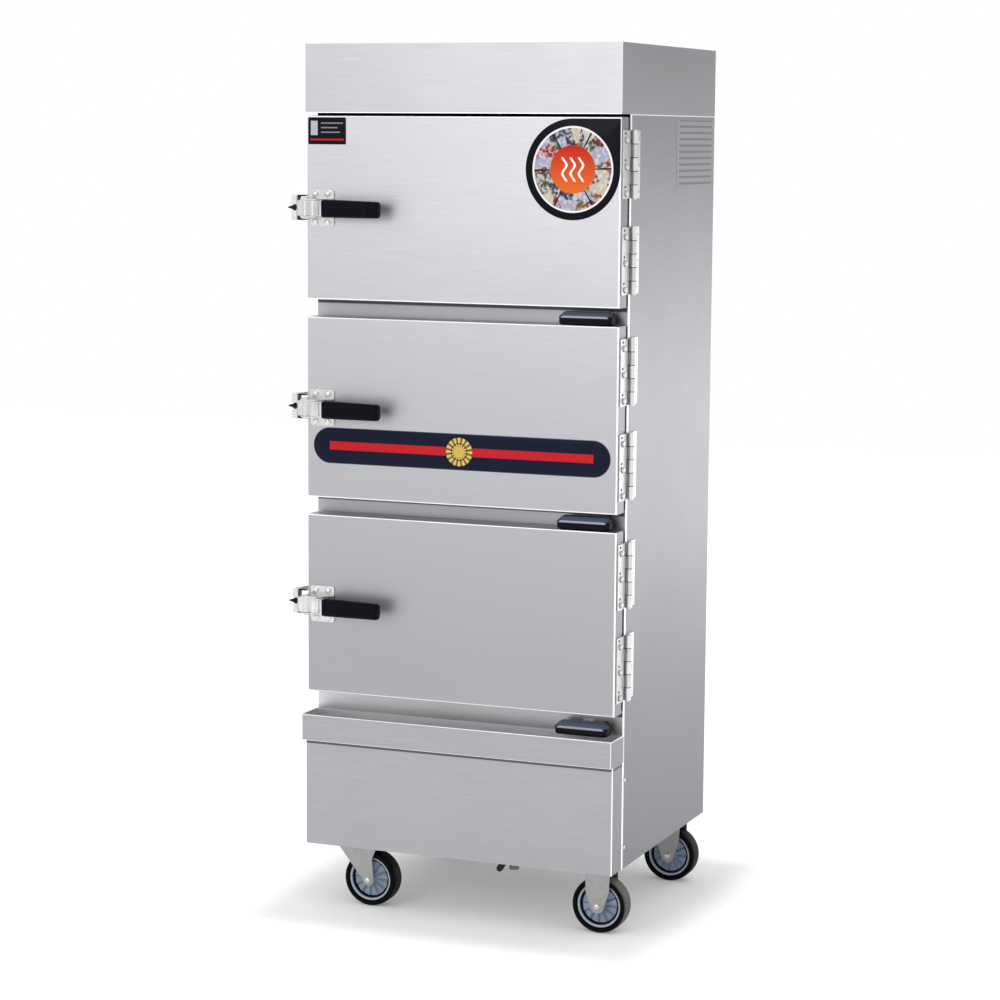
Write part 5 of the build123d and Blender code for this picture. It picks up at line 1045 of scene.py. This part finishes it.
# %% Helpers for prints
def pattern_place(tree, coordinates, centre_x, centre_z):
    """Places across and up about a print's centre, in millimetres."""
    moved = add(tree, "ShaderNodeVectorMath",
                {0: coordinates, 1: (place_on(X, centre_x), 0.0, place_on(Z, centre_z))},
                operation="SUBTRACT")
    scaled = add(tree, "ShaderNodeVectorMath", {0: moved.outputs[0], "Scale": 1000.0},
                 operation="SCALE")
    parted = add(tree, "ShaderNodeSeparateXYZ", {"Vector": scaled.outputs[0]})
    return parted.outputs[X], parted.outputs[Z]


def pythagoras(tree, one, other):
    """The root of the sum of two squares."""
    squares = [add(tree, "ShaderNodeMath", {0: side, 1: 2.0}, operation="POWER").outputs[0]
               for side in (one, other)]
    total = add(tree, "ShaderNodeMath", dict(enumerate(squares)), operation="ADD")
    return add(tree, "ShaderNodeMath", {0: total.outputs[0]}, operation="SQRT").outputs[0]


def beyond(tree, value, middle, half):
    """How far a value is outside a band: the larger of |value - middle| - half and 0."""
    for other, operation in ((middle, "SUBTRACT"), (0.0, "ABSOLUTE"), (half, "SUBTRACT"),
                             (0.0, "MAXIMUM")):
        value = add(tree, "ShaderNodeMath", {0: value, 1: other}, operation=operation).outputs[0]
    return value


def both_between(tree, one, one_limits, other, other_limits):
    """1 where both values are between their limits, which are as in step_between."""
    inside = [step_between(tree, one, *one_limits), step_between(tree, other, *other_limits)]
    return add(tree, "ShaderNodeMath", dict(enumerate(inside)), operation="MULTIPLY").outputs[0]


# %% Round film print
BADGE, BADGE_RADIUS = (250.0, cap_top - 256.5), 103.0
badge_film, tree, shader, coordinates = begin_finish("round_film_gloss_vinyl", 0.3,
                                                     Specular_IOR_Level=0.08)
flat_x, flat_z = pattern_place(tree, coordinates, *BADGE)
radius = pythagoras(tree, flat_x, flat_z)
angle = add(tree, "ShaderNodeMath", {0: flat_z, 1: flat_x}, operation="ARCTAN2").outputs[0]
# Cells about 24 mm across stand for the mottled fields of a food print, with no picture in them.
cells = add(tree, "ShaderNodeTexVoronoi", {"Vector": coordinates, "Scale": 1000 / 24},
            feature="F1")
tones = add(tree, "ShaderNodeSeparateColor", {"Color": cells.outputs["Color"]})
ramp = add(tree, "ShaderNodeValToRGB", {"Fac": tones.outputs[0]})
ramp.color_ramp.interpolation = "CONSTANT"
for position, colour in ((0.0, "#A9A6BC"), (0.2, "#6E2A26"), (0.36, "#C8BBA2"), (0.5, "#4E5A34"),
                         (0.64, "#3A3C4E"), (0.78, "#A03228"), (0.9, "#7C6238")):
    ramp.color_ramp.elements.new(position).color = linear(colour)
grains = add(tree, "ShaderNodeTexNoise", {"Vector": coordinates, "Scale": 1000 / 7, "Detail": 4.0})
speckle = add(tree, "ShaderNodeMapRange", {"Value": grains.outputs["Fac"], "From Min": 0.46,
                                           "From Max": 0.66, "To Max": 0.85})
WEDGES = 6
wedge = repeating(tree, angle, WEDGES / (2 * np.pi), "FRACT")
warm = add(tree, "ShaderNodeMapRange", {"Value": flat_z, "From Min": -46.0, "From Max": 46.0})
disc_colour = layered(tree, "#E8702A", ("#C81E1E", warm.outputs[0]))
colour_out = layered(tree, ramp.outputs[0], ("#D9D7DE", speckle.outputs[0]),
                     ("#1A2030", step_between(tree, wedge, 0.0, 0.05, 0.01)),
                     (disc_colour, step_between(tree, radius, -1.0, 49.0)))
# Three waves of steam, 18 mm apart, sway by 4.5 mm with a wave length of 34 mm.
sway = repeating(tree, flat_z, 2 * np.pi / 34, "SINE")
swing = add(tree, "ShaderNodeMath", {0: sway, 1: 4.5}, operation="MULTIPLY")
for offset in (-18.0, 0.0, 18.0):
    centre = add(tree, "ShaderNodeMath", {0: swing.outputs[0], 1: offset}, operation="ADD")
    away = add(tree, "ShaderNodeMath", {0: flat_x, 1: centre.outputs[0]}, operation="SUBTRACT")
    ribbon = both_between(tree, away.outputs[0], (-2.6, 2.6), flat_z, (-24.0, 24.0, 2.0))
    colour_out = layered(tree, colour_out, ("#FBF6EE", ribbon))
colour_out = layered(tree, colour_out, ("#F4F4F6", step_between(tree, radius, 84.0, 88.0)),
                     ("#060A14", step_between(tree, radius, 88.0, 180.0)))
tree.links.new(colour_out, shader.inputs["Base Color"])
make_piece("round_film", [film_disc((BADGE[0], FILM_FRONT, BADGE[1]), BADGE_RADIUS, FILM_THICK)],
           "upper_door", badge_film)

# %% Bar film print
BAR_X, BAR_Z = (-336.0, 340.0), (cap_top - 886.0, cap_top - 809.0)
bar_film, tree, shader, coordinates = begin_finish("bar_film_gloss_vinyl", 0.26,
                                                   Specular_IOR_Level=0.08)
flat_x, flat_z = pattern_place(tree, coordinates, sum(BAR_X) / 2, sum(BAR_Z) / 2)
half_length, half_height = (BAR_X[1] - BAR_X[0]) / 2, (BAR_Z[1] - BAR_Z[0]) / 2
edge = pythagoras(tree, beyond(tree, flat_x, 0.0, half_length - half_height), flat_z)
# The woven ground is a 5 mm twill: a wave along one diagonal, drawn coarser than the real 2 mm.
TWILL_MM, FLUTES = 5, 16
slant = add(tree, "ShaderNodeMath", {0: flat_x, 1: flat_z}, operation="ADD")
twill = repeating(tree, slant.outputs[0], 2 * np.pi / TWILL_MM, "SINE")
twill = add(tree, "ShaderNodeMapRange", {"Value": twill, "From Min": -1.0})
bands = [("#C8242C", both_between(tree, flat_x, (*ends, 1.0), flat_z, (-9.0, 9.0, 0.8)))
         for ends in ((-300.0, -30.0), (30.0, 300.0))]
around = add(tree, "ShaderNodeMath", {0: flat_z, 1: flat_x}, operation="ARCTAN2")
flutes = repeating(tree, around.outputs[0], FLUTES, "COSINE")
flutes = add(tree, "ShaderNodeMapRange", {"Value": flutes, "From Min": -1.0})
gold = layered(tree, "#6E5320", ("#E9CF7A", flutes.outputs[0]))
from_centre = pythagoras(tree, flat_x, flat_z)
colour_out = layered(tree, "#0A0F20", ("#1A2138", twill.outputs[0]), *bands,
                     (gold, step_between(tree, from_centre, -1.0, 30.0)),
                     ("#2A1E10", step_between(tree, from_centre, 17.0, 19.0)),
                     ("#D8B654", step_between(tree, from_centre, -1.0, 12.0)),
                     ("#4A5064", step_between(tree, edge, half_height - 1.4, half_height + 5.0)))
tree.links.new(colour_out, shader.inputs["Base Color"])
make_piece("bar_film", [film_bar(BAR_X, BAR_Z, FILM_FRONT, FILM_THICK, half_height - 0.01)],
           "middle_door", bar_film)

# %% Small label print
door_low, door_high = door_boxes["upper"]
LABEL_X = (door_low[0] + 3.0, door_low[0] + 91.0)
LABEL_Z = (door_high[2] - 60.0, door_high[2] - 3.5)
label_film, tree, shader, coordinates = begin_finish("label_film_gloss_vinyl", 0.3,
                                                     Specular_IOR_Level=0.08)
flat_x, flat_z = pattern_place(tree, coordinates, sum(LABEL_X) / 2, sum(LABEL_Z) / 2)
bars = (((-39.0, 39.0), (-20.0, -16.0), "#B8242A"), ((-38.0, -22.0), (-9.0, 21.0), "#B9BAC2"),
        ((-14.0, 37.0), (15.0, 17.5), "#8B8D98"), ((-14.0, 24.0), (5.5, 8.0), "#8B8D98"),
        ((-14.0, 30.0), (-4.0, -1.5), "#8B8D98"))
colour_out = layered(tree, "#0C0E16", *((colour, both_between(tree, flat_x, x_ends, flat_z, z_ends))
                                        for x_ends, z_ends, colour in bars))
tree.links.new(colour_out, shader.inputs["Base Color"])
make_piece("label_film", [film_bar(LABEL_X, LABEL_Z, FILM_FRONT, FILM_THICK, 3.0)], "upper_door",
           label_film)

# %% Ruled side plate
RULE_PITCH, RULE_Y = 0.0135, (366.0, 590.0)
PLATE_Y, PLATE_Z, PLATE_CORNER = (351.0, 604.0), (cap_top - 300.0, cap_top - 154.0), 3.0
plate_finish, tree, shader, coordinates = begin_finish("side_plate_ruled_grey_film", 0.45,
                                                       Specular_IOR_Level=0.3)
parted = add(tree, "ShaderNodeSeparateXYZ", {"Vector": coordinates})
rule = repeating(tree, parted.outputs[Z], 2 * np.pi / RULE_PITCH, "SINE")
ruled = both_between(tree, rule, (0.35, 2.0, 0.3), parted.outputs[Y],
                     (*(place_on(Y, end) for end in RULE_Y), 0.001))
colour_out = layered(tree, "#9A9A9E", ("#77777C", ruled))
tree.links.new(colour_out, shader.inputs["Base Color"])
y, z = shrinking_rows(PLATE_Y, PLATE_Z, PLATE_CORNER, 4, [0.0, 0.0, 0.4, 1.5, 2.9])
out = np.array([-0.02, 0.35, 0.5, 0.5, 0.5])
plate = np.stack([body_right + out[:, None] + 0 * y, y, z], axis=-1)
make_piece("side_plate", [closed_shape(plate)], "root", plate_finish)

# %% [markdown]
# ## Floor, world and lamps
# The portrait stands on a white sweep with one soft shadow. The world is a plain white that
# reflections and the camera see at full strength, and a soft box high on the left front and a
# card behind the right side, which glows by itself, give the sheets their gradients. The floor
# adds some white for the camera and for reflections, less of it under the cabinet than beyond:
# the lower glow under the cabinet is a painted shadow, and with it only the shadow under the
# cabinet shows on the floor.

# %% Studio
def seen_by(tree, *rays):
    """1 for rays of the kinds that are listed, such as Is Camera Ray, and 0 for all others."""
    path = add(tree, "ShaderNodeLightPath")
    seen = path.outputs[rays[0]]
    for ray in rays[1:]:
        seen = add(tree, "ShaderNodeMath", {0: seen, 1: path.outputs[ray]},
                   operation="MAXIMUM").outputs[0]
    return seen


# The floor's own glow grows from the ends of a band under the cabinet outward, over 150 mm, so
# the band under the cabinet is a painted shadow.
SHADE_X, SHADE_Y, SHADE_SOFT = (-370.0, 390.0), (-90.0, 640.0), 0.15
SHADE_GLOW, OPEN_GLOW = 0.14, 0.45
floor_paper, tree, paper, coordinates = begin_finish(
    "floor_white_paper", 0.9, Base_Color=linear("#EDEDED"), Specular_IOR_Level=0.0)
parted = add(tree, "ShaderNodeSeparateXYZ", {"Vector": coordinates})
outside = [beyond(tree, parted.outputs[axis], place_on(axis, (low_mm + high_mm) / 2),
                  (high_mm - low_mm) / 2000)
           for axis, (low_mm, high_mm) in ((X, SHADE_X), (Y, SHADE_Y))]
open_floor = add(tree, "ShaderNodeMapRange",
                 {"Value": pythagoras(tree, *outside), "From Max": SHADE_SOFT,
                  "To Min": SHADE_GLOW, "To Max": OPEN_GLOW}, interpolation_type="SMOOTHSTEP")
glow = add(tree, "ShaderNodeMath", {0: seen_by(tree, "Is Camera Ray", "Is Glossy Ray"),
                                    1: open_floor.outputs[0]}, operation="MULTIPLY")
white = add(tree, "ShaderNodeEmission", {"Color": (1, 1, 1, 1), "Strength": glow.outputs[0]})
both = add(tree, "ShaderNodeAddShader", {0: paper.outputs[0], 1: white.outputs[0]})
tree.links.new(both.outputs[0], tree.nodes["Material Output"].inputs["Surface"])
floor = mesh_object("studio_floor", [(-9, -9, 0), (9, -9, 0), (9, 9, 0), (-9, 9, 0)],
                    [(0, 1, 2, 3)], floor_paper)

world = bpy.data.worlds.new("white_studio")
bpy.context.scene.world = world
world.use_nodes = True
tree = world.node_tree
background = tree.nodes["Background"]
background.inputs["Color"].default_value = (1, 1, 1, 1)
seen = seen_by(tree, "Is Camera Ray", "Is Glossy Ray", "Is Transmission Ray")
strength = add(tree, "ShaderNodeMapRange", {"Value": seen, "To Min": 0.95})
tree.links.new(strength.outputs[0], background.inputs["Strength"])


def soft_box(name, centre_mm, aim_mm, size_mm, power):
    """An area lamp that faces a point of the cabinet."""
    lamp = bpy.data.lights.new(name, "AREA")
    lamp.shape, lamp.energy = "RECTANGLE", power
    lamp.size, lamp.size_y = size_mm[0] / 1000, size_mm[1] / 1000
    holder = bpy.data.objects.new(name, lamp)
    bpy.context.scene.collection.objects.link(holder)
    centre, aim = Vector(place(centre_mm)), Vector(place(aim_mm))
    holder.matrix_world = Matrix.Translation(centre) @ (aim - centre).to_track_quat(
        "-Z", "Y").to_matrix().to_4x4()


soft_box("front_soft_box", (-1000, -4900, 2650), (0, 0, 1650), (1800, 1500), 38)

# A card behind the right side, outside the picture, is no lamp, but glows by its own emission,
# brightest across its middle: painted light. The side panel reflects it as the soft bright band
# at half height, with darker sheet above and below. Camera rays pass through the card to the
# white world, so it never stands before the cabinet or shows behind it.
CARD_CORNERS = [(700, 4600, 0), (4700, 3600, 0), (4700, 3600, 3600), (700, 4600, 3600)]
CARD_MIDDLE, CARD_BRIGHT, CARD_DIM = 0.62, 2.45, 0.42
card_paper, tree, paper, coordinates = begin_finish(
    "card_glowing_panel", 0.5, Base_Color=(0.0, 0.0, 0.0, 1.0), Specular_IOR_Level=0.0,
    Emission_Color=(1, 1, 1, 1))
height = add(tree, "ShaderNodeSeparateXYZ", {"Vector": coordinates}).outputs[Z]
card_glow = add(tree, "ShaderNodeMapRange",
          {"Value": beyond(tree, height, CARD_MIDDLE, 0.0), "From Min": 0.1, "From Max": 1.2,
           "To Min": CARD_BRIGHT, "To Max": CARD_DIM}, interpolation_type="SMOOTHSTEP")
tree.links.new(card_glow.outputs[0], paper.inputs["Emission Strength"])
through = add(tree, "ShaderNodeMixShader",
              {0: seen_by(tree, "Is Camera Ray"), 1: paper.outputs[0],
               2: add(tree, "ShaderNodeBsdfTransparent").outputs[0]})
tree.links.new(through.outputs[0], tree.nodes["Material Output"].inputs["Surface"])
card = mesh_object("reflector_card", place(CARD_CORNERS), [(0, 1, 2, 3)], card_paper)

# %% [markdown]
# ## The camera
# The portrait was taken from the right front, a little above the middle, with a long lens. The
# place, the three angles and the focal length were found by fitting the corners of the cabinet,
# so the camera is written as those numbers.

# %% Camera
EYE = (2283.5, -5367.3, 1669.2)
YAW, PITCH, ROLL = np.radians([22.18, 7.42, 0.41])
FOCAL_PIXELS, PICTURE = 2799.0, 1000.0
ahead = np.array([-np.sin(YAW) * np.cos(PITCH), np.cos(YAW) * np.cos(PITCH), -np.sin(PITCH)])
level_right = np.array([np.cos(YAW), np.sin(YAW), 0.0])
level_up = np.cross(level_right, ahead)
right = np.cos(ROLL) * level_right + np.sin(ROLL) * level_up
up = -np.sin(ROLL) * level_right + np.cos(ROLL) * level_up
lens = bpy.data.cameras.new("portrait_camera")
lens.sensor_width, lens.lens = 36.0, 36.0 * FOCAL_PIXELS / PICTURE
camera = bpy.data.objects.new("portrait_camera", lens)
bpy.context.scene.collection.objects.link(camera)
turn = Matrix(np.stack([right, up, -ahead], axis=1).tolist()).to_4x4()
camera.matrix_world = Matrix.Translation(Vector(place(EYE))) @ turn
bpy.context.scene.camera = camera
bpy.context.scene.view_settings.view_transform = "Standard"
print("lens in mm", round(lens.lens, 2))
